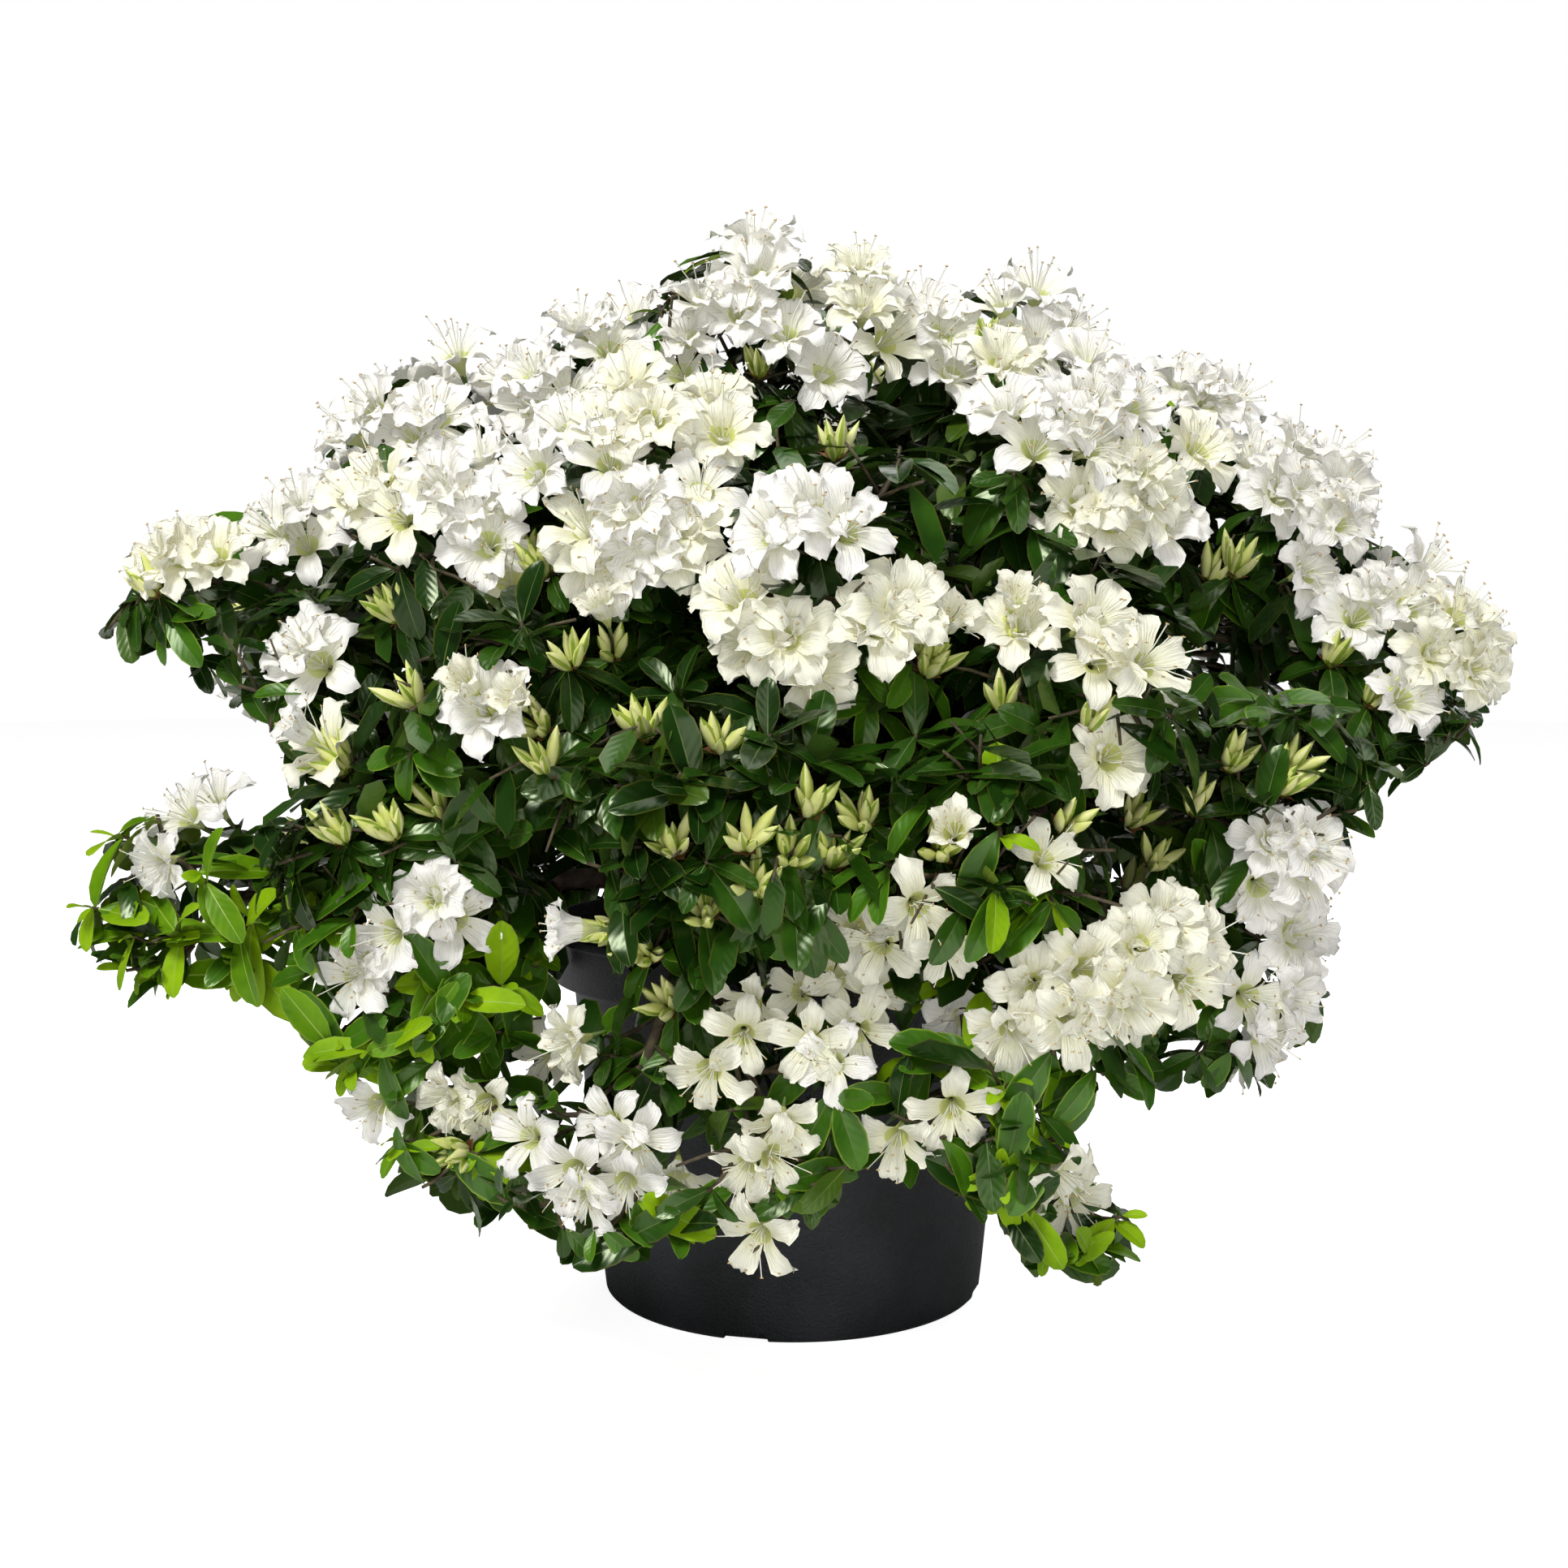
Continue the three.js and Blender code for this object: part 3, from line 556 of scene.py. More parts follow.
STEM_ROOT_RADIUS = 2.1
STEM_END_RADIUS = 1.5
STEM_STEPS = 3
STEM_KNEE = 0.25
STEM_RING = 2.9
BOUGH_STEPS = 4
TWIG_CLEARANCE = 2
POT_CLEARANCE = 3
TWIG_RADIUS = 1.4
TIP_ALLOWANCE = 20
TIP_MARGIN = 13
TIP_STEP = 4
SHORTEST_TWIG = 8
FORK_FROM = 0.62
FORK_STEP = 0.05
TWIG_SPREAD = 105
TWIG_RISE = 0.25
MAIN_TWIGS = 4
GOLDEN_TURN = 2.39996
CROWN_CORE = np.array((0.0, 20.0, 190.0))
SEED_STEP = 7919

# Masses of foliage: bough, middle, half sizes of the space they may fill, what they carry, seed.
MASSES = {
    "crown_top": ("bough_top", (-18, 20, 425), (75, 65, 71), "flowers", 21),
    "crown_top_right": ("bough_top", (95, 55, 420), (75, 65, 60), "flowers", 42),
    "crown_top_left": ("bough_top", (-98, 15, 395), (62, 65, 60), "flowers", 41),
    "shoulder_left": ("bough_upper_left", (-165, 10, 385), (62, 65, 55), "flowers", 32),
    "arm_left": ("bough_upper_left", (-252, -5, 325), (80, 62, 52), "flowers", 31),
    "left_high": ("bough_upper_left", (-140, -75, 335), (60, 55, 55), "mixed", 42),
    "shoulder_right": ("bough_upper_right", (172, 35, 385), (62, 65, 54), "flowers", 6),
    "upper_right": ("bough_upper_right", (225, 10, 345), (62, 65, 55), "flowers", 42),
    "arm_right": ("bough_upper_right", (272, -15, 278), (68, 65, 66), "mixed", 42),
    "left_mid": ("bough_left", (-205, -50, 278), (54, 52, 46), "mixed", 31),
    "left_inner": ("bough_left", (-165, -105, 215), (60, 52, 50), "leaves", 28),
    "back_low_left": ("bough_left", (-190, 90, 205), (66, 62, 58), "mixed", 42),
    "right_mid": ("bough_right", (195, -90, 235), (66, 60, 58), "leaves", 16),
    "back_low_right": ("bough_right", (190, 80, 195), (68, 62, 60), "mixed", 42),
    "front_left_high": ("bough_front_high", (-62, -100, 355), (62, 60, 55), "flowers", 45),
    "front_high": ("bough_front_high", (18, -130, 330), (62, 60, 58), "flowers", 11),
    "front_left": ("bough_front_high", (-100, -130, 270), (62, 55, 55), "mixed", 1),
    "front_right": ("bough_front_right", (112, -130, 290), (66, 55, 55), "mixed", 2),
    "front_right_high": ("bough_front_right", (105, -85, 365), (66, 60, 58), "flowers", 28),
    "back_top_left": ("bough_back_left", (-100, 115, 375), (70, 65, 62), "flowers", 29),
    "back_left": ("bough_back_left", (-215, 85, 295), (72, 65, 62), "flowers", 25),
    "back_mid_left": ("bough_back_left", (-110, 180, 290), (70, 64, 65), "mixed", 32),
    "back_top_right": ("bough_back_right", (85, 140, 375), (75, 65, 62), "flowers", 31),
    "back_right": ("bough_back_right", (215, 100, 290), (74, 65, 65), "flowers", 13),
    "back_mid_right": ("bough_back_right", (100, 200, 290), (70, 62, 65), "mixed", 9),
    "back_mid": ("bough_back", (-5, 190, 335), (66, 62, 65), "flowers", 10),
    "back_low_mid_left": ("bough_back", (-75, 190, 205), (70, 60, 62), "leaves", 42),
    "back_low_mid_right": ("bough_back", (80, 195, 200), (70, 60, 62), "mixed", 20),
    "spray_left": ("bough_low_left", (-262, -45, 190), (70, 55, 46), "mixed", 32),
    "low_left": ("bough_low_left", (-160, -95, 155), (62, 52, 48), "mixed", 32),
    "skirt_left": ("bough_low_left", (-135, -105, 92), (55, 48, 46), "skirt", 26),
    "front_mid": ("bough_low_front_left", (-25, -160, 235), (62, 52, 55), "leaves", 31),
    "skirt_front_left": ("bough_low_front_left", (-72, -158, 92), (52, 45, 50), "skirt", 31),
    "skirt_front": ("bough_low_front_left", (-8, -165, 112), (55, 45, 60), "flowers", 36),
    "front_right_mid": ("bough_low_front_right", (62, -160, 222), (58, 52, 52), "leaves", 18),
    "skirt_front_right": ("bough_low_front_right", (68, -160, 110), (55, 45, 52), "skirt", 23),
    "skirt_right": ("bough_low_front_right", (116, -138, 68), (44, 42, 38), "skirt", 32),
    "low_right": ("bough_low_right", (105, -150, 168), (60, 52, 48), "flowers", 18),
    "right_low": ("bough_low_right", (182, -80, 155), (58, 55, 60), "flowers", 22),
}
MIDDLE = {name: np.array(row[1], float) for name, row in MASSES.items()}
HALF = {name: np.array(row[2], float) for name, row in MASSES.items()}


def numbers(seed):
    """The same seed always gives the same row of numbers between 0 and 1."""
    state = seed
    while True:
        state = state * 48271 % 2147483647
        yield state / 2147483647


def planes_of(name):
    """The planes that keep a mass off its neighbours: their normals and limits."""
    normals = []
    limits = []
    for other in MASSES:
        if other != name:
            away = MIDDLE[other] - MIDDLE[name]
            distance = np.linalg.norm(away)
            normal = away / distance
            mine = np.linalg.norm(normal * HALF[name])
            theirs = np.linalg.norm(normal * HALF[other])
            normals.append(normal)
            limits.append(MIDDLE[name].dot(normal) + distance * mine / (mine + theirs))
    return np.array(normals), np.array(limits)


PLANES = {name: planes_of(name) for name in MASSES}


def clear_of_pot(p, margin):
    """Whether a point lies over or beside the pot."""
    if p[2] > POT_HEIGHT + margin:
        return True
    return p[2] > margin and math.hypot(p[0], p[1]) > RIM_RADIUS + margin


def in_space(name, p, margin):
    """Whether a point lies in the space of a mass, off its neighbours and the pot."""
    if np.linalg.norm((p - MIDDLE[name]) / HALF[name]) > 1:
        return False
    normals, limits = PLANES[name]
    return clear_of_pot(p, margin) and bool(np.all(normals @ p < limits - margin))


def reach(name, along):
    """How far the space of a mass goes in a direction."""
    return 1 / np.linalg.norm(along / HALF[name])


def stretch_distance(p1, q1, p2, q2):
    """How near two straight stretches come to each other."""
    d1 = q1 - p1
    d2 = q2 - p2
    r = p1 - p2
    a, e, b, c, f = d1.dot(d1), d2.dot(d2), d1.dot(d2), d1.dot(r), d2.dot(r)
    den = a * e - b * b
    s = min(max((b * f - c * e) / den, 0), 1) if den > 1e-9 else 0
    t = (b * s + f) / e
    if t < 0:
        t = 0
        s = min(max(-c / a, 0), 1)
    elif t > 1:
        t = 1
        s = min(max((b - c) / a, 0), 1)
    return np.linalg.norm(p1 + d1 * s - p2 - d2 * t)


def stretches_of(owner, curve, root_radius, end_radius, steps):
    """A limb as straight stretches: whose it is, both ends and the radius."""
    stops = [curve(k / steps) for k in range(steps + 1)]
    return [(owner, stops[k], stops[k + 1], lerp(root_radius, end_radius, k / steps)) for k in range(steps)]


def stem_curves():
    """The stem of each mass, off the end of its bough and on to the middle of the mass."""
    stems = {}
    for bough, curve in BOUGH_CURVES.items():
        names = [name for name, row in MASSES.items() if row[0] == bough]
        along = heading(curve, 1)
        end = curve(1) + along * GAP
        places = fork_places(end, along, STEM_RING, [MIDDLE[name] for name in names])
        for k, name in enumerate(names):
            length = np.linalg.norm(MIDDLE[name] - places[k])
            stems[name] = bent(places[k], places[k] + along * STEM_KNEE * length, MIDDLE[name])
    return stems


STEMS = stem_curves()
STRETCHES = []
for name, curve in BOUGH_CURVES.items():
    STRETCHES += stretches_of(name, curve, BOUGH_ROOT_RADIUS, BOUGH_TIP_RADIUS, BOUGH_STEPS)
for name, curve in STEMS.items():
    STRETCHES += stretches_of(name, curve, STEM_ROOT_RADIUS, STEM_END_RADIUS, STEM_STEPS)


def clear_of_limbs(start, end, radius, own):
    """Whether a straight twig misses every bough and stem but its own."""
    return all(
        owner == own or stretch_distance(start, end, a, b) > radius + thick + 2 * GAP
        for owner, a, b, thick in STRETCHES
    )


def main_twigs(name):
    """The main twigs of a mass, in the solids' own order of draws."""
    draw = numbers(SEED_STEP * MASSES[name][4])
    out = unit(MIDDLE[name] - CROWN_CORE)
    out = unit(out + UP * TWIG_RISE)
    side = unit(np.cross(UP, out))
    up = np.cross(out, side)
    first = next(draw) * 2 * math.pi
    twigs = []
    for k in range(MAIN_TWIGS):
        share = (k + 0.15 + 0.4 * next(draw)) / MAIN_TWIGS
        slope = lerp(1, math.cos(math.radians(TWIG_SPREAD)), share)
        turn = first + k * GOLDEN_TURN + 0.5 * (next(draw) - 0.5)
        flat = math.sqrt(1 - slope * slope)
        along = out * slope + side * flat * math.cos(turn) + up * flat * math.sin(turn)
        length = max(reach(name, along) - TIP_ALLOWANCE, SHORTEST_TWIG)
        fork = lerp(FORK_FROM, 1, next(draw))
        while fork < 1 and not in_space(name, STEMS[name](fork), TWIG_CLEARANCE):
            fork = min(1, fork + FORK_STEP)
        start = STEMS[name](fork)
        while length > SHORTEST_TWIG and not in_space(name, MIDDLE[name] + along * length, TIP_MARGIN):
            length -= TIP_STEP
        tip = MIDDLE[name] + along * length
        if in_space(name, tip, TWIG_CLEARANCE) and clear_of_limbs(start, tip, TWIG_RADIUS, name):
            twigs.append(bent(start, start + unit(heading(STEMS[name], fork) + along) * length / 3, tip))
    return twigs


# Tips: finer twigs carry the rule on to where blossom, buds or fresh leaves show. The front's tips lie
# where the photo shows them, on the outer face of their mass. Seeded tips fill every other side and the
# places where two masses meet.

PHOTO_SIZE = 1932
FOCAL_PIXELS = 2688
EYE = np.array((-4.0, -1000.0, 320.0))
EYE_PITCH = math.radians(4.91)
HEAD_DEPTH = {"open": 15, "opening": 24, "buds": 16, "fresh": 12, "leaf": 14}
HEAD_RISE = {"open": 24, "opening": 12, "buds": 9, "fresh": 2, "leaf": 2}
TRUSS_SPREAD = 30
TRUSS_MOST = 4
TIP_ROOM = 31
FRONT_TIP_ROOM = 25
FIRST_FORK_END = 0.55
VIEW_DEPTH = 62
TIP_MARGIN_SEEN = 22
FILL_DIRECTIONS = 44
FRONT_FACING = -0.3
FRONT_INSET = 18
FRONT_PULL = {"high": 0.9, "low": 0.5, "rest": 0.25}
SHADE_FACING = -0.3
HOLLOW_FACING = -0.8
AMONG_OPEN = 30
AMONG_OPEN_ABOVE = 385
VALLEY_REACH = 90
VALLEY_INSET = 12
CROSSED = 30
CROSSING_COST = 45
CROSSING_PLACES = (0.15, 0.4, 0.65, 0.9)
TURN_BACK_COST = 0.9
OVER_POT_COST = 60
FORK_PLACES = (0.35, 0.5, 0.65, 0.8, 0.92)
TWIG_LIFT = 0.02
SKIRT_TWIG_LIFT = -0.05
LOW_LIFT = -0.1
BUD_LIFT = 0.6
EDGE_MISS = 1.2
SHORTEST_SHARE = 0.5
TRUSS_SIZES = (1, 2, 3, 4)
TRUSS_SHARES = (0.1, 0.3, 0.35, 0.25)

# Places in the photo's pixels, across and down: every open flower that shows, then the other tips.
OPEN_AT = [
    (930, 288), (930, 335), (865, 362), (968, 405), (912, 380), (1060, 325), (1065, 375),
    (1105, 370),  (1140, 378), (1095, 418), (1020, 455), (1175, 455), (1165, 405), (1235, 372),
    (1278, 352), (1235, 440),  (1280, 425), (1325, 405), (1345, 440), (775, 390), (750, 425),
    (715, 398), (845, 408), (835, 455),  (795, 430), (560, 432), (655, 455), (655, 495), (612, 492),
    (700, 480), (770, 470), (540, 510),  (505, 532), (455, 500), (425, 530), (590, 560), (655, 578),
    (750, 525), (700, 525), (805, 512),  (750, 568), (880, 485), (890, 530), (865, 600), (1240, 500),
    (1277, 548), (1320, 510), (1350, 490),  (1400, 498), (1345, 545), (1405, 570), (1415, 605),
    (1372, 640), (1330, 620), (1430, 640), (1455, 465),  (1490, 490), (1525, 490), (1480, 552),
    (1545, 562), (1580, 605), (1610, 612), (1600, 548), (1645, 558),  (1660, 600), (1650, 640),
    (335, 655), (362, 622), (375, 668), (437, 610), (492, 635), (465, 590),  (540, 595), (575, 620),
    (600, 670), (625, 712), (775, 620), (795, 658), (735, 682), (765, 692),  (718, 645), (845, 645),
    (830, 670), (1005, 625), (950, 655), (1045, 650), (221, 682), (266, 682),  (190, 690), (1255, 768),
    (911, 736), (969, 781), (1001, 826), (1081, 768), (1110, 749), (925, 790),  (1352, 812),
    (1347, 768), (1415, 815), (1615, 702), (1625, 742), (1672, 757), (1705, 735),
    (1740, 745),  (1768, 803), (1800, 755), (1760, 702), (1830, 775), (1820, 822), (1735, 860),
    (391, 817), (370, 790),  (600, 869), (401, 920), (227, 1004), (262, 985), (195, 1068), (530, 1105),
    (560, 1130), (504, 1160),  (446, 1185), (478, 1150), (433, 1205), (462, 1363), (552, 1356),
    (597, 1363), (700, 1286), (674, 1299),  (649, 1401), (1135, 1117), (1051, 1143), (1084, 1162),
    (987, 1220), (923, 1239), (1077, 1227),  (1032, 1201), (871, 1323), (916, 1278), (1026, 1310),
    (1000, 1284), (1058, 1272), (1187, 1259),  (1167, 1169), (962, 1387), (955, 1426), (1174, 1368),
    (1103, 1407), (751, 1382), (784, 1408),  (719, 1479), (706, 1446), (769, 1460), (835, 1453),
    (932, 1524), (917, 1440), (1276, 1215), (1340, 1196),  (1321, 1260), (1353, 1234), (1437, 1138),
    (1475, 1164), (1404, 1164), (1462, 1209), (1540, 1228),  (1591, 1234), (1559, 1279), (1250, 1273),
    (1321, 1479), (1305, 1450), (1585, 1125), (1552, 1093),  (1392, 1234), (1569, 1035), (1620, 1040),
    (1610, 1070), (1289, 1056), (1371, 933), (1257, 1207),  (1600, 1150),
]
OPENING_AT = [
    (640, 665), (750, 785), (655, 885), (1240, 770), (1165, 1040), (735, 1145), (1500, 1085),
    (405, 930),  (1150, 790), (600, 865),
]
BUDS_AT = [
    (885, 905), (1150, 812), (1240, 858), (1700, 852), (1530, 690), (1500, 700),
    (1525, 930),  (1600, 930), (1480, 985), (1400, 1000), (1320, 1005), (1430, 1055), (1400, 1080),
    (410, 1020),  (535, 985), (475, 1015), (1000, 985), (1062, 1000), (825, 1035), (918, 1028),
    (975, 1048),  (1030, 1050), (930, 1085), (865, 1120), (790, 1170), (775, 1240), (815, 1232),
    (665, 935),  (700, 800), (500, 850), (790, 890), (1030, 540), (935, 442), (1215, 415), (180, 715),
    (480, 745),  (1210, 430), (660, 690), (1650, 800), (560, 1420), (1590, 960), (1350, 880),
    (240, 1300),
]
FRESH_AT = [
    (140, 1025), (190, 1000), (110, 1115), (160, 1150), (250, 1085), (215, 1150), (290, 1145),
    (360, 1140),  (210, 1210), (150, 1195), (310, 1185), (565, 1180), (660, 1190),  (634, 1150),
    (615, 1215), (458, 1291), (405, 1295), (430, 1320), (519, 1275), (558, 1234),
    (484, 1406),  (538, 1410), (586, 1422), (1235, 1025), (1300, 1110), (1240, 1090), (1140, 1227),
    (1134, 1310),  (1198, 1304), (1242, 1336), (1236, 1227), (1281, 1262), (1294, 1406), (1236, 1451),
    (1262, 1485),  (1385, 1500), (1290, 1538), (1345, 1545), (610, 620), (905, 300),
    (810, 370),  (1430, 490), (846, 1509), (926, 1545), (954, 1470), (782, 1470),
]
LEAVES_AT = [
    (487, 1355), (609, 1362), (660, 1355), (516, 1464), (558, 1451), (609, 1475), (640, 1470),
    (737, 1253),  (750, 1301), (785, 1320), (852, 1234), (705, 1480), (692, 1515), (730, 1515),
    (765, 1530), (815, 1515),  (871, 1470), (897, 1368), (1031, 1355), (1050, 1440), (1006, 1460),
    (1102, 1374), (1166, 1400),  (1217, 1406), (1281, 1368), (1191, 1464), (1242, 1496), (1300, 1300),
    (1364, 1325), (1396, 1278),  (1441, 1325), (1479, 1300), (1524, 1300), (1422, 1208), (1454, 1227),
    (1594, 1234), (532, 1310),  (615, 1272), (666, 1255), (130, 770), (205, 765), (240, 830),
    (165, 740), (290, 840), (330, 900),  (375, 850), (430, 770), (1790, 900), (1760, 940), (1690, 960),
    (1820, 880), (1650, 990), (1560, 1000),  (1110, 545), (1260, 640), (1050, 520), (980, 490),
    (640, 760), (485, 700), (380, 710), (1450, 680),  (700, 1010), (560, 1060), (620, 1030),
    (480, 1110), (430, 1130), (350, 1010), (340, 1060),  (1000, 870), (1080, 870), (1130, 900),
    (1180, 880), (1000, 930), (1240, 940), (950, 900), (1100, 950),  (1180, 950), (1290, 900),
    (1330, 960), (860, 970), (800, 960), (740, 960), (780, 1040), (720, 1060),  (870, 1060),
    (760, 1100), (1090, 1060), (1150, 1090), (1200, 1120), (980, 1110), (900, 1170),  (1040, 1100),
    (1110, 560), (1150, 740), (1250, 580), (1450, 880), (690, 1110), (720, 1125),  (750, 1112),
    (665, 1100), (690, 1060), (672, 1135), (1430, 940), (1550, 860), (1600, 880),  (570, 780),
    (540, 830), (440, 880), (500, 930), (820, 780), (830, 850),
]
# The outline of plant and pot, clockwise from the top, and the part of the pot's wall that nothing hides.
OUTLINE_AT = [
    (800, 350), (805, 320), (835, 300), (870, 298), (890, 285), (930, 275), (960, 285), (985, 300),
    (1000, 315),  (1020, 345), (1040, 330), (1060, 308), (1080, 335), (1100, 345), (1130, 345),
    (1160, 370), (1175, 360),  (1200, 332), (1240, 325), (1290, 322), (1310, 350), (1330, 390),
    (1345, 425), (1380, 440), (1420, 455),  (1450, 440), (1500, 450), (1530, 470), (1550, 490),
    (1550, 525), (1590, 530), (1640, 535), (1670, 570),  (1690, 600), (1700, 650), (1740, 680),
    (1790, 700), (1830, 745), (1860, 755), (1850, 800), (1840, 860),  (1845, 910), (1830, 945),
    (1800, 925), (1760, 945), (1740, 960), (1715, 960), (1705, 1000), (1690, 1060),  (1650, 1065),
    (1620, 1060), (1630, 1100), (1640, 1150), (1650, 1230), (1635, 1290), (1610, 1300),  (1590, 1330),
    (1560, 1350), (1500, 1365), (1470, 1350), (1440, 1375), (1400, 1350), (1350, 1340),  (1310, 1330),
    (1265, 1330), (1290, 1370), (1330, 1400), (1350, 1450), (1385, 1465), (1415, 1490),  (1420, 1530),
    (1400, 1560), (1385, 1580), (1340, 1565), (1290, 1580), (1250, 1560), (1245, 1530),  (1240, 1505),
    (1215, 1510), (1212, 1600), (1150, 1640), (1000, 1660), (850, 1650), (745, 1610),
    (756, 1585),  (735, 1560), (673, 1557), (680, 1520), (676, 1490), (641, 1502), (606, 1521),
    (564, 1483), (513, 1470),  (500, 1445), (452, 1457), (440, 1425), (446, 1374), (433, 1358),
    (391, 1340), (345, 1295), (330, 1240),  (300, 1255), (260, 1250), (235, 1250), (200, 1235),
    (165, 1225), (130, 1215), (80, 1180), (75, 1150),  (75, 1110), (100, 1090), (140, 1060),
    (150, 1035), (88, 1035), (90, 1018), (150, 1000), (180, 1000),  (195, 970), (220, 965), (245, 965),
    (290, 985), (310, 1000), (330, 985), (350, 960), (330, 935), (350, 915),  (325, 895), (305, 870),
    (265, 860), (245, 890), (215, 888), (235, 855), (232, 820), (245, 800), (225, 785),  (195, 815),
    (160, 835), (178, 800), (125, 810), (150, 780), (165, 760), (110, 772), (135, 745),
    (130, 700),  (150, 675), (180, 655), (230, 640), (290, 620), (330, 600), (370, 590), (395, 595),
    (395, 560), (400, 530),  (410, 505), (440, 475), (500, 430), (540, 420), (600, 418), (640, 420),
    (680, 412), (700, 390), (740, 375),  (790, 370),
]
POT_SHOWS_AT = [
    (745, 1575), (765, 1557), (790, 1562), (805, 1545), (830, 1520), (850, 1545), (870, 1510),
    (895, 1545),  (905, 1570), (925, 1590), (945, 1590), (950, 1560), (975, 1550), (960, 1520),
    (975, 1505), (1000, 1505),  (1035, 1500), (1050, 1485), (1075, 1470), (1080, 1450), (1095, 1460),
    (1120, 1460), (1125, 1430),  (1150, 1430), (1170, 1445), (1185, 1460), (1185, 1490), (1215, 1500),
    (1212, 1600), (1150, 1640),  (980, 1665), (745, 1610),
]
# What a mass carries on the sides that the photo doesn't show: shares of the first four kinds.
KINDS = ("open", "opening", "buds", "fresh", "leaf")
CARRIED = {
    "flowers": (0.8, 0.06, 0.06, 0.0),
    "mixed": (0.5, 0.1, 0.2, 0.02),
    "leaves": (0.25, 0.08, 0.3, 0.0),
    "skirt": (0.35, 0.05, 0.08, 0.3),
}
HEAD_LIFT = {"flowers": 0.4, "mixed": 0.35, "leaves": 0.4, "skirt": -0.05}


def photo_ray(across_px, down_px):
    """The line of sight through a place in the photo."""
    x = (across_px - PHOTO_SIZE / 2) / FOCAL_PIXELS
    y = (PHOTO_SIZE / 2 - down_px) / FOCAL_PIXELS
    c, s = math.cos(EYE_PITCH), math.sin(EYE_PITCH)
    return unit(np.array((x, c + y * s, y * c - s)))


def seen_place(across_px, down_px, depth):
    """The mass that a line of sight meets first and the point in it, a little behind its outer face."""
    ray = photo_ray(across_px, down_px)
    hits = []
    edge = []
    for name in MASSES:
        d = ray / HALF[name]
        o = (EYE - MIDDLE[name]) / HALF[name]
        a, b, c = d.dot(d), 2 * o.dot(d), o.dot(o) - 1
        nearest = -b / (2 * a)
        if b * b - 4 * a * c > 0:
            first = (-b - math.sqrt(b * b - 4 * a * c)) / (2 * a)
            hits.append((first, min(first + depth, nearest), name))
        edge.append((np.linalg.norm(o + d * nearest), nearest, name))
    for _, t, name in sorted(hits):
        if in_space(name, EYE + ray * t, POT_CLEARANCE):
            return name, EYE + ray * t
    miss, t, name = min(edge)
    if miss < EDGE_MISS and clear_of_pot(EYE + ray * t, POT_CLEARANCE):
        return name, EYE + ray * t
    return None


def photo_place(at):
    """Where a point shows in the photo, across and down."""
    x, y, z = at - EYE
    ahead = y * math.cos(EYE_PITCH) - z * math.sin(EYE_PITCH)
    above = y * math.sin(EYE_PITCH) + z * math.cos(EYE_PITCH)
    across_px = PHOTO_SIZE / 2 + FOCAL_PIXELS * x / ahead
    down_px = PHOTO_SIZE / 2 - FOCAL_PIXELS * above / ahead
    return np.array((across_px, down_px))


def ringed(place, ring):
    """Whether a place lies in a closed ring of places."""
    first = np.array(ring, dtype=float)
    second = np.roll(first, -1, axis=0)
    crossed = (first[:, 1] > place[1]) != (second[:, 1] > place[1])
    first, second = first[crossed], second[crossed]
    slant = (second[:, 0] - first[:, 0]) / (second[:, 1] - first[:, 1])
    return np.count_nonzero(first[:, 0] + (place[1] - first[:, 1]) * slant > place[0]) % 2 == 1


def in_outline(at, margin):
    """Whether a point, with a margin in pixels, keeps to the outline and off the bare wall of the pot."""
    place = photo_place(at)
    around = [place + step for step in ((margin, 0), (-margin, 0), (0, margin), (0, -margin))]
    if not all(ringed(spot, OUTLINE_AT) for spot in around):
        return False
    return at[1] > 0 or not any(ringed(spot, POT_SHOWS_AT) for spot in around)


def in_view(at):
    """Whether the photo would show what is at a point, with no mass well in front of it."""
    found = seen_place(*photo_place(at), HEAD_DEPTH["leaf"])
    return bool(found) and np.linalg.norm(at - EYE) - np.linalg.norm(found[1] - EYE) < VIEW_DEPTH


def facing_of(name, at, kind, shown):
    """Which way a head looks: out of its mass and up, buds more so, and towards the light in front."""
    outward = unit(at - MIDDLE[name] * 0.6 - CROWN_CORE * 0.4)
    high = at[2] > POT_HEIGHT
    lift = HEAD_LIFT[MASSES[name][3]] if high else LOW_LIFT
    if kind in ("buds", "leaf", "fresh"):
        lift += BUD_LIFT
    pull = 0
    if shown:
        pull = FRONT_PULL["rest" if kind != "open" else "high" if high else "low"]
    return unit(outward + UP * lift - UNIT_Y * pull)


def shown_trusses():
    """Open flowers that show near each other on one mass, gathered into trusses."""
    trusses = []
    for place in OPEN_AT:
        found = seen_place(*place, HEAD_DEPTH["open"])
        if found:
            name, at = found
            near = [
                heads for owner, heads in trusses
                if owner == name and len(heads) < TRUSS_MOST
                and np.linalg.norm(np.mean(heads, axis=0) - at) < TRUSS_SPREAD
            ]
            if near:
                near[0].append(at)
            else:
                trusses.append((name, [at]))
    return trusses


def shown_tip(name, at, kind, heads):
    """A tip that stands behind what shows there."""
    facing = facing_of(name, at, kind, True)
    base = at - facing * HEAD_RISE[kind]
    if not clear_of_pot(base, POT_CLEARANCE):
        base = at - facing * 2
    return dict(mass=name, at=base, kind=kind, flowers=1, facing=facing, shown=True, heads=heads)


def shown_tips():
    """The tips that the photo shows: trusses first, then every other kind in turn."""
    tips = [shown_tip(name, np.mean(heads, axis=0), "open", heads) for name, heads in shown_trusses()]
    lists = {"opening": OPENING_AT, "buds": BUDS_AT, "fresh": FRESH_AT, "leaf": LEAVES_AT}
    for kind, places in lists.items():
        for place in places:
            found = seen_place(*place, HEAD_DEPTH[kind])
            if found:
                tips.append(shown_tip(*found, kind, []))
    return tips


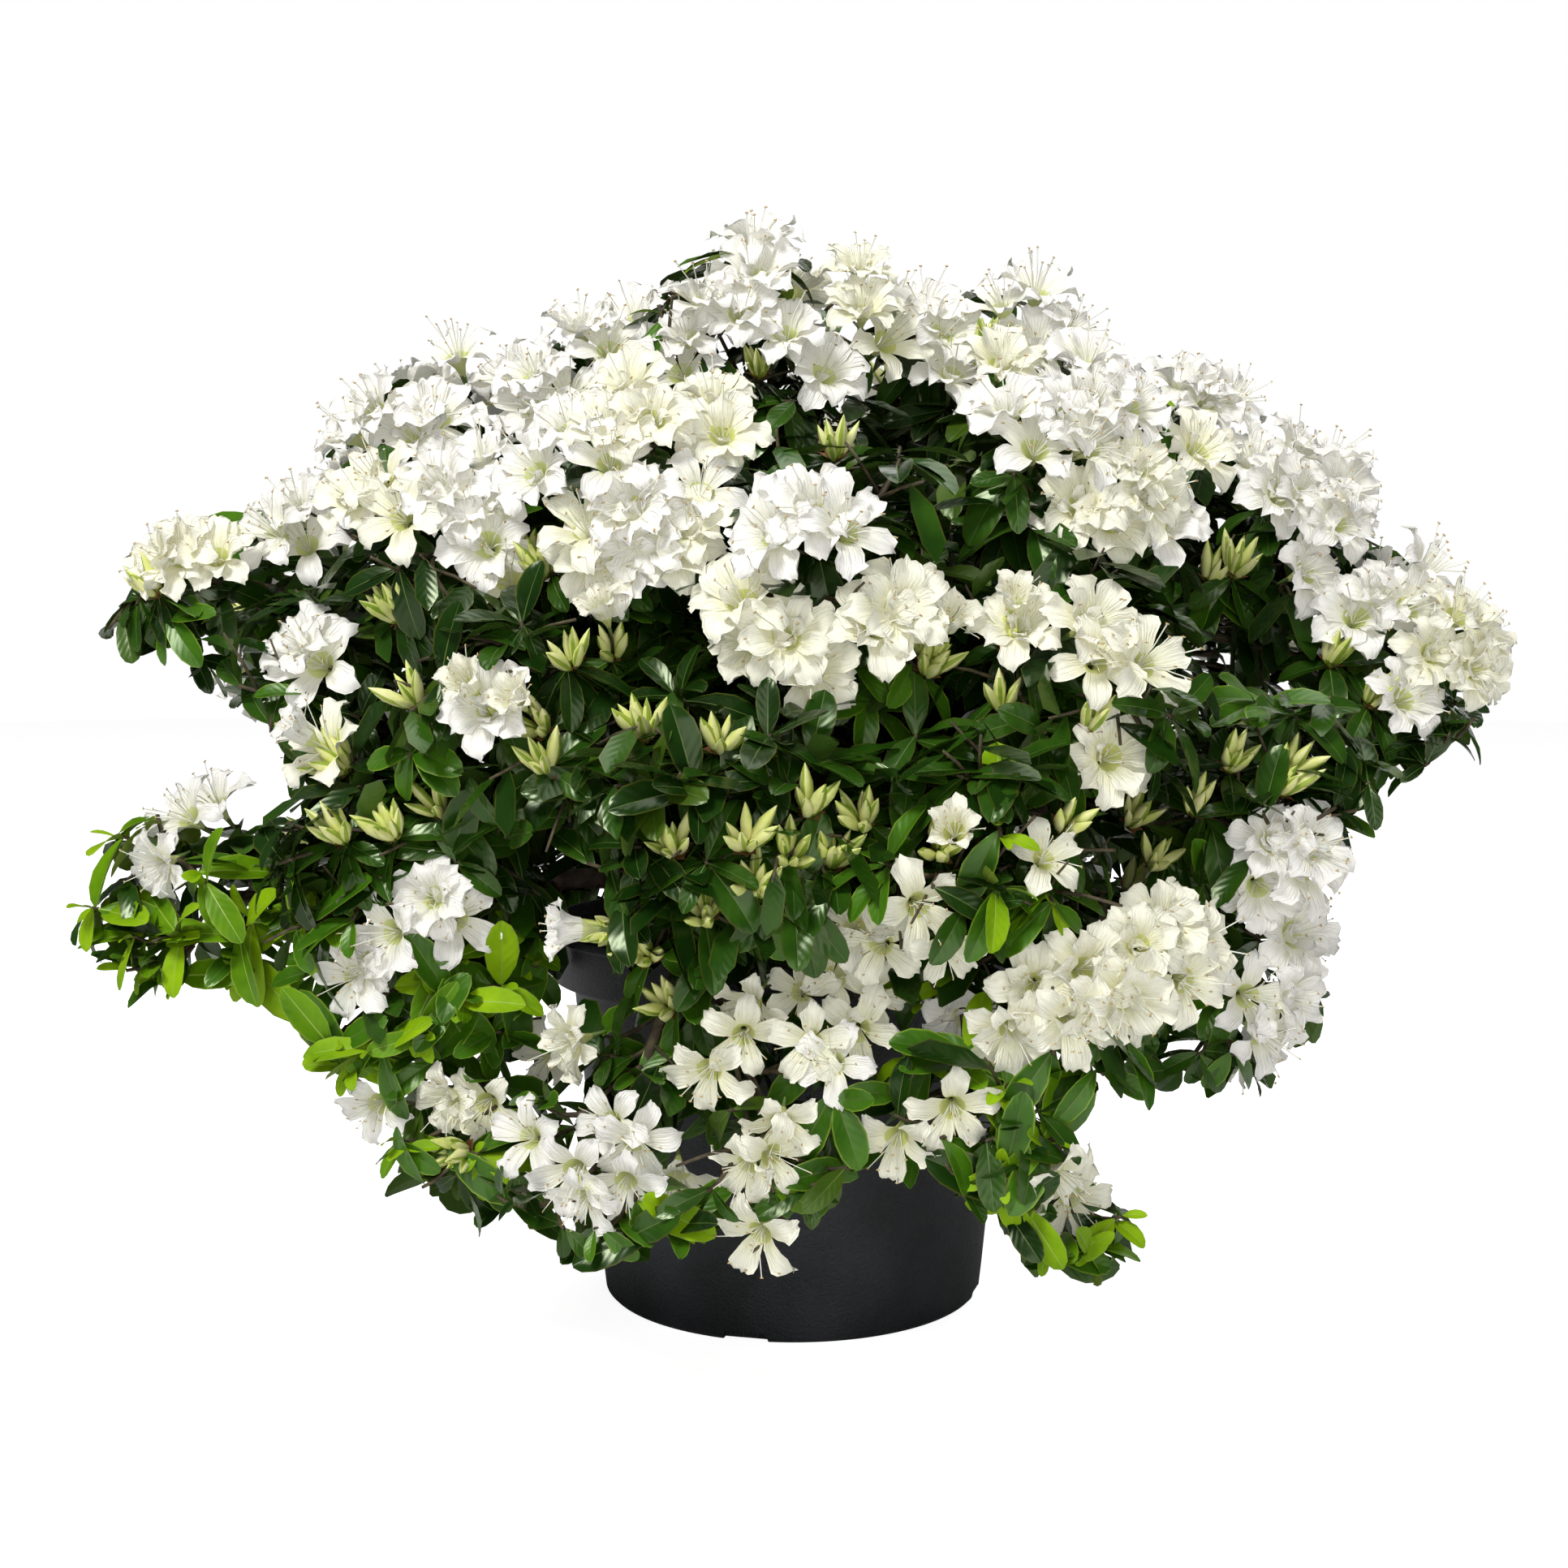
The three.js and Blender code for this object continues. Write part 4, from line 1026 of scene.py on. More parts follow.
def among_open(at):
    """Whether a point shows high up among open flowers."""
    near = np.linalg.norm(OPEN_PLACES - photo_place(at), axis=1).min() < AMONG_OPEN
    return near and at[2] > AMONG_OPEN_ABOVE


def fill_tip(name, tip, in_front, shaded, taken, draws):
    """One tip where the photo shows none, or None where it has no room.

    One that is in view bears leaves, and so does one that faces the shade inside the crown.
    """
    if not in_outline(tip, TIP_MARGIN_SEEN):
        return None
    in_front = in_front or in_view(tip)
    room = FRONT_TIP_ROOM if in_front else TIP_ROOM
    if any(np.linalg.norm(tip - other["at"]) < room for other in taken):
        return None
    kind = "leaf"
    if not shaded and (not in_front or among_open(tip)):
        kind = KINDS[int(np.searchsorted(np.cumsum(CARRIED[MASSES[name][3]]), draws.uniform(0, 1)))]
    flowers = int(draws.choice(TRUSS_SIZES, p=TRUSS_SHARES))
    facing = facing_of(name, tip, kind, False)
    return dict(mass=name, at=tip, kind=kind, flowers=flowers, facing=facing, shown=False, heads=[])


def fill_tips(name, taken, draws):
    """Tips in even directions round a mass, wherever none is yet. Those in front lie deeper."""
    tips = []
    outward = unit(MIDDLE[name] - CROWN_CORE)
    for k in range(FILL_DIRECTIONS):
        z = 1 - 2 * (k + 0.5) / FILL_DIRECTIONS
        flat = math.sqrt(1 - z * z)
        turn = k * GOLDEN_TURN + draws.uniform(-0.2, 0.2)
        along = np.array((flat * math.cos(turn), flat * math.sin(turn), z))
        in_front = along[1] < FRONT_FACING
        if in_front and (name.startswith("back") or MASSES[name][3] == "skirt"):
            continue
        full = reach(name, along) - TIP_ALLOWANCE - (FRONT_INSET if in_front else 0)
        length = full
        while length > SHORTEST_TWIG and not in_space(name, MIDDLE[name] + along * length, TIP_MARGIN):
            length -= TIP_STEP
        tip = MIDDLE[name] + along * length
        facing_out = along.dot(outward)
        if facing_out < HOLLOW_FACING or length < SHORTEST_SHARE * full:
            continue
        if not in_space(name, tip, TWIG_CLEARANCE):
            continue
        added = fill_tip(name, tip, in_front, facing_out < SHADE_FACING, taken + tips, draws)
        if added:
            tips.append(added)
    return tips


def valley_tips(taken, draws):
    """Tips that close the crown where two masses meet, near the outer face that they share."""
    tips = []
    names = list(MASSES)
    for k, name in enumerate(names):
        for other in names[k + 1:]:
            away = MIDDLE[other] - MIDDLE[name]
            mine, theirs = reach(name, unit(away)), reach(other, unit(away))
            if np.linalg.norm(away) > mine + theirs:
                continue
            middle = MIDDLE[name] + away * mine / (mine + theirs)
            outward = unit(middle - CROWN_CORE)
            steps = np.arange(0, VALLEY_REACH, TIP_STEP)[:, None]
            line = middle + outward * steps
            inside = np.linalg.norm((line - MIDDLE[name]) / HALF[name], axis=1) < 1
            if MASSES[name][3] == "skirt" or not inside.any():
                continue
            tip = middle + outward * (steps[inside][-1] - VALLEY_INSET)
            added = clear_of_pot(tip, TIP_MARGIN) and fill_tip(name, tip, False, False, taken + tips, draws)
            if added:
                tips.append(added)
    return tips


def crossings(start, end):
    """How often a straight twig would pass in front of a flower that shows."""
    count = 0
    for t in CROSSING_PLACES:
        at = lerp(start, end, t)
        near = np.linalg.norm(OPEN_PLACES - photo_place(at), axis=1) < CROSSED
        count += bool((near & (OPEN_FAR > np.linalg.norm(at - EYE))).any())
    return count


def carrier(name, tip):
    """On which curve of a mass, the stem or a main twig, the twig to a tip sets out, and how far along."""
    best = None
    for k, curve in enumerate([STEMS[name]] + MAINS[name]):
        for t in FORK_PLACES:
            at = curve(t)
            away = tip - at
            length = np.linalg.norm(away)
            turn_back = 1 - away.dot(heading(curve, t)) / length
            cost = length * (1 + TURN_BACK_COST * turn_back)
            cost += 0 if clear_of_pot(at, TWIG_CLEARANCE) else OVER_POT_COST
            cost += CROSSING_COST * crossings(at, tip)
            if best is None or cost < best[0]:
                best = (cost, k, t)
    return best[1], best[2]


def cut_short(curve, end):
    """The first part of a curve, as a curve."""
    return lambda t: curve(t * end)


def finer_twig(start, along, tip, lift):
    """A twig from its carrier to a tip: it sets out with the carrier and rises to its end."""
    length = np.linalg.norm(tip - start)
    knee = start + along * 0.3 * length + (tip - start) * 0.35 + UP * lift * length
    return bent(start, knee, tip)


TIPS = shown_tips()
OPEN_HEADS = [head for tip in TIPS for head in tip["heads"]]
OPEN_PLACES = np.array([photo_place(head) for head in OPEN_HEADS])
OPEN_FAR = np.linalg.norm(np.array(OPEN_HEADS) - EYE, axis=1)
MAINS = {name: main_twigs(name) for name in MASSES}
fill_draws = np.random.RandomState(11)
for name in MASSES:
    TIPS += fill_tips(name, TIPS, fill_draws)
TIPS += valley_tips(TIPS, fill_draws)
FORKED_TO = {name: [1.0] + [FIRST_FORK_END] * len(MAINS[name]) for name in MASSES}
for tip in TIPS:
    name = tip["mass"]
    k, t = carrier(name, tip["at"])
    curve = ([STEMS[name]] + MAINS[name])[k]
    FORKED_TO[name][k] = max(FORKED_TO[name][k], t)
    lift = SKIRT_TWIG_LIFT if MASSES[name][3] == "skirt" else TWIG_LIFT
    tip["twig"] = finer_twig(curve(t), heading(curve, t), tip["at"], lift)
MAINS = {
    name: [cut_short(curve, end) for curve, end in zip(MAINS[name], FORKED_TO[name][1:])]
    for name in MASSES
}

# Joined copies: twigs, blossom, buds and leaves are each modelled once or a few times and strewn over
# the plant. The copies of one kind in one part of the crown are joined into one piece.

ZONES = {
    "crown": ["crown_top", "crown_top_right", "crown_top_left", "shoulder_left", "shoulder_right"],
    "left": ["arm_left", "left_high", "left_mid", "left_inner", "spray_left"],
    "right": ["upper_right", "arm_right", "right_mid", "right_low"],
    "upper_front": ["front_left_high", "front_high", "front_left", "front_right", "front_right_high"],
    "lower_front": ["front_mid", "front_right_mid", "low_left", "low_right"],
    "skirts": ["skirt_left", "skirt_front_left", "skirt_front", "skirt_front_right", "skirt_right"],
    "back": [name for name in MASSES if name.startswith("back")],
}
ZONE_OF = {name: zone for zone, names in ZONES.items() for name in names}
BOX_LOW = np.array(cad_low) / MM
BOX_HIGH = np.array(cad_high) / MM
PROUD = 4.0


class Pattern:
    """One small shape, ready to be copied many times."""

    def __init__(self, bm):
        layer = bm.loops.layers.uv.active
        self.verts = np.array([v.co for v in bm.verts])
        self.corners = np.array([loop.vert.index for f in bm.faces for loop in f.loops])
        self.sizes = np.array([len(f.verts) for f in bm.faces])
        self.slots = np.array([f.material_index for f in bm.faces])
        loops = [loop for f in bm.faces for loop in f.loops]
        self.uvs = np.array([(0.5, 0.5) if layer is None else tuple(loop[layer].uv) for loop in loops])
        bm.free()


class Strewn:
    """Copies of patterns that become one joined piece."""

    def __init__(self):
        self.parts = []
        self.count = 0

    def put(self, pattern, turn, at, scale=1.0, slot_shift=0, give=2.0):
        """One copy, turned by a matrix whose columns are its X, Y and Z directions.

        A copy that would stand out of the solids' box moves back by up to the give, or isn't made.
        """
        verts = pattern.verts * scale @ turn.T + at
        back = np.maximum(BOX_LOW - PROUD - verts.min(axis=0), 0)
        back -= np.maximum(verts.max(axis=0) - BOX_HIGH - PROUD, 0)
        if np.abs(back).max() > give:
            return False
        self.parts.append((verts + back, pattern, self.count, slot_shift))
        self.count += len(verts)
        return True

    def piece(self, name, finishes):
        """The copies as one mesh."""
        verts = np.concatenate([part[0] for part in self.parts]) * MM
        corners = np.concatenate([pattern.corners + first for _, pattern, first, _ in self.parts])
        sizes = np.concatenate([pattern.sizes for _, pattern, _, _ in self.parts])
        slots = np.concatenate([pattern.slots + shift for _, pattern, _, shift in self.parts])
        uvs = np.concatenate([pattern.uvs for _, pattern, _, _ in self.parts])
        mesh = bpy.data.meshes.new(name)
        mesh.vertices.add(len(verts))
        mesh.vertices.foreach_set("co", verts.astype(np.float32).ravel())
        mesh.loops.add(len(corners))
        mesh.loops.foreach_set("vertex_index", corners.astype(np.int32))
        mesh.polygons.add(len(sizes))
        starts = np.cumsum(sizes) - sizes
        mesh.polygons.foreach_set("loop_start", starts.astype(np.int32))
        mesh.polygons.foreach_set("loop_total", sizes.astype(np.int32))
        mesh.polygons.foreach_set("material_index", slots.astype(np.int32))
        mesh.uv_layers.new(name="surface").data.foreach_set("uv", uvs.astype(np.float32).ravel())
        for material in finishes:
            mesh.materials.append(material)
        mesh.update(calc_edges=True)
        mesh.validate()
        mesh.shade_smooth()
        return link(name, mesh)


def join_by_zone(strewn, title, finishes, slot):
    """One piece for each part of the crown that has any, in place of that part's masses."""
    for zone, names in ZONES.items():
        if strewn[zone].parts:
            on_the_plant(strewn[zone].piece(f"{title}_{zone}", finishes), slot, *names)


def standing(along, upper):
    """A turn whose Y runs along a direction and whose Z lies as near as can be to another."""
    y = unit(along)
    z = upper - y * upper.dot(y)
    z = unit(z) if np.linalg.norm(z) > 1e-6 else unit(across(y)[0])
    return np.column_stack((np.cross(y, z), y, z))


def jitter(draws, size):
    """A small random change to a direction."""
    return draws.normal(0, size, 3)


# Twigs: slim brown shoots that grow from a stem or a main twig. Each is a tapering tube of four to eight
# sides rolled round its curve.

TWIG_TIP_RADIUS = 0.75
SHOOT_RADIUS = 0.9
STALK_RADIUS = 0.7
TWIG_SIDES = 6
STEM_SIDES = 8
STEM_COLLAR = 0.6
MAIN_TWIG_COLLAR = 0.2
FINER_TWIG_RADIUS = 1.3


def tube(curve, root_radius, end_radius, sides, steps):
    """A pattern for one twig, rolled round its curve and closed at both ends."""
    bm = bmesh.new()
    made = bmesh.ops.create_grid(bm, x_segments=sides, y_segments=steps, size=1)["verts"]
    roll(made, curve, lambda t, turn, at: lerp(root_radius, end_radius, t))
    bmesh.ops.remove_doubles(bm, verts=bm.verts, dist=SEAM)
    bmesh.ops.holes_fill(bm, edges=[e for e in bm.edges if e.is_boundary], sides=0)
    bmesh.ops.recalc_face_normals(bm, faces=bm.faces)
    return Pattern(bm)


young_bark = mottled("young_bark", (0.045, 0.03, 0.016), (0.11, 0.085, 0.04), 240, 0.7, 900, 0.6)
TWIGS = {zone: Strewn() for zone in ZONES}
STILL = np.identity(3)
NOWHERE = np.zeros(3)
for name in MASSES:
    strewn = TWIGS[ZONE_OF[name]]
    foot_radius = STEM_ROOT_RADIUS + STEM_COLLAR
    strewn.put(tube(STEMS[name], foot_radius, STEM_END_RADIUS, STEM_SIDES, 10), STILL, NOWHERE)
    for curve in MAINS[name]:
        pattern = tube(curve, TWIG_RADIUS + MAIN_TWIG_COLLAR, TWIG_TIP_RADIUS, TWIG_SIDES, 6)
        strewn.put(pattern, STILL, NOWHERE)
for tip in TIPS:
    pattern = tube(tip["twig"], FINER_TWIG_RADIUS, TWIG_TIP_RADIUS, TWIG_SIDES, 5)
    TWIGS[ZONE_OF[tip["mass"]]].put(pattern, STILL, NOWHERE)

# Blossom: white azalea flowers of five slim, ruffled lobes on a short funnel, many with a second whorl of
# petals inside, with slim white stamens and tan anthers. They stand in trusses of one to four.

PETAL_STOPS = (0, 0.2, 0.4, 0.52, 0.64, 0.76, 0.87, 0.95, 1)
PETAL_OUT = (1.3, 3.0, 6.4, 10.0, 13.8, 17.6, 21.0, 23.6, 24.9)
PETAL_RISE = (0, 6, 11.6, 14.0, 15.6, 16.4, 16.2, 15.0, 13.6)
PETAL_HALF = (0.9, 2.2, 4.2, 5.6, 6.9, 7.7, 7.4, 5.9, 3.7)
FIFTH = 2 * math.pi / 5
FUNNEL_END = 0.4
FLOWER_MOUTH = 15
FILAMENT_RADIUS = 0.33
FLOWER_SHAPES = 9
HALF_OPEN_SHAPES = 4
PETAL_GLOW = 0.1
PETAL_VEIN_HEIGHT = 0.0015
EDGE_RUFFLE = 0.11
FACE_RUFFLE = 2.7
CALYX_SIZE = (0.7, 1.8, 10)
ANTHER_SIZE = (0.6, 0.4, 1.5)
FILAMENT_LENGTH = (20, 32)
FILAMENT_SPREAD = (0.12, 0.7)
FILAMENT_FOOT = 5
STAMENS_IN_SINGLE = 9
STAMENS_IN_DOUBLE = 5
SINGLE_SLIMNESS = 0.92
THROAT_SLOT = 1
FILAMENT_SLOT = 2
ANTHER_SLOT = 3
CALYX_SLOT = 4
CREAM_SLOTS = 5


def petal(bm, layer, mid_turn, size, slim, lean, twist, phase, columns):
    """One lobe, from the foot of the funnel to its ruffled tip. The flower faces along Y."""
    rows = len(PETAL_STOPS) - 1
    made = bmesh.ops.create_grid(bm, x_segments=columns, y_segments=rows, size=1)["verts"]
    radial = np.array((math.cos(mid_turn), 0.0, math.sin(mid_turn)))
    tangent = np.array((-math.sin(mid_turn), 0.0, math.cos(mid_turn)))
    hinge_out = np.interp(FUNNEL_END, PETAL_STOPS, PETAL_OUT)
    hinge_rise = np.interp(FUNNEL_END, PETAL_STOPS, PETAL_RISE)
    flat = {}
    for v in made:
        w = v.co.x
        s = PETAL_STOPS[round((v.co.y + 1) / 2 * rows)]
        flat[v] = (w, s)
        out = np.interp(s, PETAL_STOPS, PETAL_OUT)
        rise = np.interp(s, PETAL_STOPS, PETAL_RISE)
        half = np.interp(s, PETAL_STOPS, PETAL_HALF) * slim
        half *= 1 + EDGE_RUFFLE * s * math.sin(21 * s + 2 * phase + 3 * w)
        lobe = max(0, s - FUNNEL_END) / (1 - FUNNEL_END)
        out += lobe * lobe * (1.0 * math.sin(6 * w + phase) - 1.9 * w * w)
        rise += lobe * (1.6 * w * w - 1.8 * (1 - abs(w)) ** 2 - 0.8 * math.cos(3 * math.pi * w))
        rise += FACE_RUFFLE * lobe * w * w * math.sin(14 * s + phase + 1.5 * w)
        rise += 0.9 * lobe * math.sin(7 * s + 2 * phase)
        if lobe:
            ahead, lift = out - hinge_out, rise - hinge_rise
            out = hinge_out + ahead * math.cos(lean) - lift * math.sin(lean)
            rise = hinge_rise + ahead * math.sin(lean) + lift * math.cos(lean)
        fan = mid_turn + w * FIFTH / 2
        round_place = out * np.array((math.cos(fan), 0.0, math.sin(fan)))
        sideways = w * half * math.cos(twist * lobe)
        rise += w * half * math.sin(twist * lobe)
        flat_place = out * radial + sideways * tangent
        blend = min(1, 2.2 * lobe)
        place = (lerp(round_place, flat_place, blend) + rise * UNIT_Y) * size
        v.co = Vector(place)
    for f in {f for v in made for f in v.link_faces}:
        middle = sum(flat[v][1] for v in f.verts) / len(f.verts)
        f.material_index = THROAT_SLOT if middle < FUNNEL_END else 0
        for loop in f.loops:
            w, s = flat[loop.vert]
            loop[layer].uv = ((w + 1) / 2, s)


def give_slot(verts, slot):
    """Puts the faces at some vertices in a material slot."""
    for f in {f for v in verts for f in v.link_faces}:
        f.material_index = slot


def stamens(bm, draws, count):
    """Slim filaments that bow out of the throat, each with a small anther."""
    for k in range(count):
        turn = k * GOLDEN_TURN + draws.uniform(0, 0.5)
        spread = draws.uniform(*FILAMENT_SPREAD)
        length = draws.uniform(*FILAMENT_LENGTH)
        out = np.array((math.cos(turn), 0.0, math.sin(turn)))
        start = UNIT_Y * FILAMENT_FOOT
        end = start + (UNIT_Y * math.cos(spread) + out * math.sin(spread)) * length
        curve = bent(start, start + UNIT_Y * length * 0.6 + out * 4, end)
        made = bmesh.ops.create_grid(bm, x_segments=3, y_segments=2, size=1)["verts"]
        side, other = across(unit(end - start))
        for v in made:
            t = (v.co.y + 1) / 2
            at = (v.co.x + 1) * math.pi
            v.co = Vector(curve(t) + spoke(side, other, at) * FILAMENT_RADIUS)
        give_slot(made, FILAMENT_SLOT)
        bmesh.ops.remove_doubles(bm, verts=made, dist=SEAM)
        foot, top, depth = ANTHER_SIZE
        anther = bmesh.ops.create_cone(
            bm, cap_ends=True, segments=3, radius1=foot, radius2=top, depth=depth,
            matrix=Matrix.Translation(Vector(end)),
        )["verts"]
        give_slot(anther, ANTHER_SLOT)


def calyx(bm):
    """The short green stalk and cup that hold the flower."""
    foot, top, depth = CALYX_SIZE
    made = bmesh.ops.create_cone(
        bm, cap_ends=False, segments=5, radius1=foot, radius2=top, depth=depth,
        matrix=Matrix.Translation((0, -3.4, 0)) @ Matrix.Rotation(-math.pi / 2, 4, "X"),
    )["verts"]
    give_slot(made, CALYX_SLOT)


def flower_pattern(seed, double, half_open=False):
    """A flower of one to three whorls: how many lobes, offset, sizes, leans, twist and grid columns."""
    draws = np.random.RandomState(seed)
    bm = bmesh.new()
    layer = bm.loops.layers.uv.new("surface")
    leans = (0.75, 1.15) if half_open else (-0.3, 0.35)
    whorls = [(5, 0, (0.92, 1.06), leans, 0.3, 5)]
    slim = 1.0 if double else SINGLE_SLIMNESS
    if double:
        whorls.append((5, 0.5, (0.8, 0.98), (0.2, 0.7), 0.45, 4))
        whorls.append((draws.randint(1, 4), 0.2, (0.5, 0.68), (0.8, 1.3), 1.0, 3))
    for count, offset, sizes, leans, twist, columns in whorls:
        for k in range(count):
            turn = (k + offset) * FIFTH * 5 / max(count, 3) + draws.uniform(-0.12, 0.12)
            lean = draws.uniform(*leans)
            twisted = draws.uniform(-twist, twist)
            size = draws.uniform(*sizes)
            petal(bm, layer, turn, size, slim, lean, twisted, draws.uniform(0, 2 * math.pi), columns)
    stamens(bm, draws, STAMENS_IN_DOUBLE if double else STAMENS_IN_SINGLE)
    calyx(bm)
    bm.verts.index_update()
    return Pattern(bm)


def petal_finish(name, colour, foot):
    """White petals: soft, with lengthwise veins from the petal's own UVs and a warmer foot.

    Light that comes through thin petals stands as a faint glow of their own.
    """
    material = bpy.data.materials.new(name)
    tree, shader = tree_of(material)
    set_inputs(shader, Roughness=0.6, Specular_IOR_Level=0.2)
    set_inputs(shader, Emission_Color=(*colour, 1), Emission_Strength=PETAL_GLOW)
    surface = tree.nodes.new("ShaderNodeUVMap")
    surface.uv_map = "surface"
    parts = add_node(tree, "SeparateXYZ")
    ramp = add_node(tree, "MapRange", From_Min=0.15, From_Max=0.75)
    mix = add_colour_mix(tree, A=foot, B=colour)
    stretch = add_node(tree, "Mapping", Scale=(11, 1.4, 1))
    streaks = add_node(tree, "TexNoise", Scale=1.5)
    bump = add_node(tree, "Bump", Strength=0.85, Distance=PETAL_VEIN_HEIGHT)
    wire(
        tree,
        (surface, "UV", parts, "Vector"),
        (parts, "Y", ramp, "Value"),
        (ramp, "Result", mix, "Factor"),
        (mix, "Result", shader, "Base Color"),
        (surface, "UV", stretch, "Vector"),
        (stretch, "Vector", streaks, "Vector"),
        (streaks, "Fac", bump, "Height"),
        (bump, "Normal", shader, "Normal"),
    )
    return material


FILAMENT = mottled("filament", (0.86, 0.86, 0.72), (0.93, 0.93, 0.82), 100, 0.5, 400, 0.05)
ANTHER = mottled("anther", (0.5, 0.36, 0.16), (0.7, 0.54, 0.28), 300, 0.7, 400, 0.1)
CALYX = mottled("calyx", (0.1, 0.17, 0.04), (0.18, 0.25, 0.07), 120, 0.5, 400, 0.1)
BLOSSOM_FINISHES = [
    petal_finish("petal_white", (0.91, 0.895, 0.84), (0.87, 0.87, 0.62)),
    petal_finish("throat_white", (0.82, 0.84, 0.48), (0.64, 0.71, 0.22)),
    FILAMENT, ANTHER, CALYX,
    petal_finish("petal_cream", (0.91, 0.895, 0.75), (0.86, 0.855, 0.48)),
    petal_finish("throat_cream", (0.82, 0.82, 0.4), (0.62, 0.67, 0.17)),
    FILAMENT, ANTHER, CALYX,
]
SINGLE_FLOWERS = [flower_pattern(20 + k, False) for k in range(FLOWER_SHAPES)]
DOUBLE_FLOWERS = [flower_pattern(40 + k, True) for k in range(FLOWER_SHAPES)]
HALF_OPEN_FLOWERS = [flower_pattern(70 + k, False, True) for k in range(HALF_OPEN_SHAPES)]
FLOWER_SIZE = (0.78, 0.94)
LOW_FLOWER_SIZE = (0.64, 0.8)
HALF_OPEN_SIZE = (0.55, 0.7)
TRUSS_LEAN = {1: 0.0, 2: 0.5, 3: 0.62, 4: 0.76}
TRUSS_REACH = 27
CREAM_SHARE = {
    "crown": 0.15, "left": 0.35, "right": 0.15, "upper_front": 0.8, "lower_front": 0.8, "skirts": 0.7,
    "back": 0.3,
}
DOUBLE_SHARE = {"flowers": 0.75, "mixed": 0.6, "leaves": 0.5, "skirt": 0.1}
LOW_BLOSSOM = {
    "skirt_front", "spray_left", "low_left", "skirt_front_left", "skirt_front_right", "skirt_left",
    "front_mid", "front_right_mid",
}
LOOSENESS = 0.12
LOW_LOOSENESS = 0.45
SHOWN_FLOWER_ROOM = 9
FLOWER_ROOM = 22
FLOWER_BACK = 15.0
STALK_BOW = 6
FLOWER_GIVE = 16
BLOSSOM = {zone: Strewn() for zone in ZONES}
HEADS_AT = []
HEAD_RADII = []
SHOWN_AT = []
HEAD_MARGIN = 36


def ring_of_heads(tip, draws):
    """Where the flowers of a truss open when none of them shows in front."""
    side, other = across(tip["facing"])
    first = draws.uniform(0, 2 * math.pi)
    heads = []
    for k in range(tip["flowers"]):
        turn = first + k * 2 * math.pi / tip["flowers"] + draws.uniform(-0.3, 0.3)
        lean = TRUSS_LEAN[tip["flowers"]] * draws.uniform(0.85, 1.15)
        out = spoke(side, other, turn)
        heads.append(tip["at"] + spoke(tip["facing"], out, lean) * TRUSS_REACH)
    return heads


def truss(tip, draws):
    """Flowers on short stalks from one tip, none in another's place. Whether there was room for any."""
    opened = False
    room = SHOWN_FLOWER_ROOM if tip["shown"] else FLOWER_ROOM
    kind = "skirt" if tip["mass"] in LOW_BLOSSOM else MASSES[tip["mass"]][3]
    zone = ZONE_OF[tip["mass"]]
    cream = CREAM_SLOTS if draws.uniform() < CREAM_SHARE[zone] else 0
    taken = np.array(HEADS_AT).reshape(-1, 3)
    for mouth in tip["heads"] or ring_of_heads(tip, draws):
        towards = unit(mouth - tip["at"]) + tip["facing"] * (0.8 if tip["shown"] else 0.4)
        aim = unit(towards + jitter(draws, LOW_LOOSENESS if kind == "skirt" else LOOSENESS))
        shapes = DOUBLE_FLOWERS if draws.uniform() < DOUBLE_SHARE[kind] else SINGLE_FLOWERS
        sizes = LOW_FLOWER_SIZE if kind == "skirt" else FLOWER_SIZE
        if tip["kind"] == "opening":
            shapes, sizes = HALF_OPEN_FLOWERS, HALF_OPEN_SIZE
        shape = shapes[draws.randint(len(shapes))]
        size = draws.uniform(*sizes)
        roll = jitter(draws, 1)
        foot = mouth - aim * FLOWER_MOUTH * size
        if len(taken) and np.linalg.norm(taken - mouth, axis=1).min() < room:
            continue
        if not tip["shown"] and not in_outline(mouth, HEAD_MARGIN):
            continue
        if BLOSSOM[zone].put(shape, standing(aim, roll), foot, size, cream, FLOWER_GIVE):
            stalk = bent(tip["at"], foot - aim * STALK_BOW, foot)
            TWIGS[zone].put(tube(stalk, STALK_RADIUS, STALK_RADIUS, 4, 2), STILL, NOWHERE)
            HEADS_AT.append(mouth)
            HEAD_RADII.append(FLOWER_BACK)
            opened = True
            if tip["shown"]:
                SHOWN_AT.append(mouth)
    return opened


blossom_draws = np.random.RandomState(29)
for tip in TIPS:
    if tip["kind"] in ("open", "opening") and not truss(tip, blossom_draws):
        tip["kind"] = "leaf"
join_by_zone(BLOSSOM, "blossom", BLOSSOM_FINISHES, "blossom")

# Buds: pointed, cream with green streaks, five to nine on a tip, over red-brown scales. Each bud is a ball
# drawn out to a point and bent a little, and each scale is a small folded blade.

BUD_LENGTH = 20
BUD_RADIUS = 2.4
BUD_SIDES = 8
BUD_SHAPES = 6
BUD_ROWS = 7
BUD_STOPS = (0, 0.1, 0.35, 0.6, 0.85, 1)
BUD_GIRTH = (0.3, 0.62, 0.95, 1, 0.5, 0.02)
BUD_SIZE = (0.75, 1.12)
SCALES = 6
SCALE_HALF = 2.1
SCALE_LENGTH = 7
GREEN_SLOT = 1
SCALE_SLOT = 2
BUD_BACK = 9.0
BUD_MIDDLE = 11


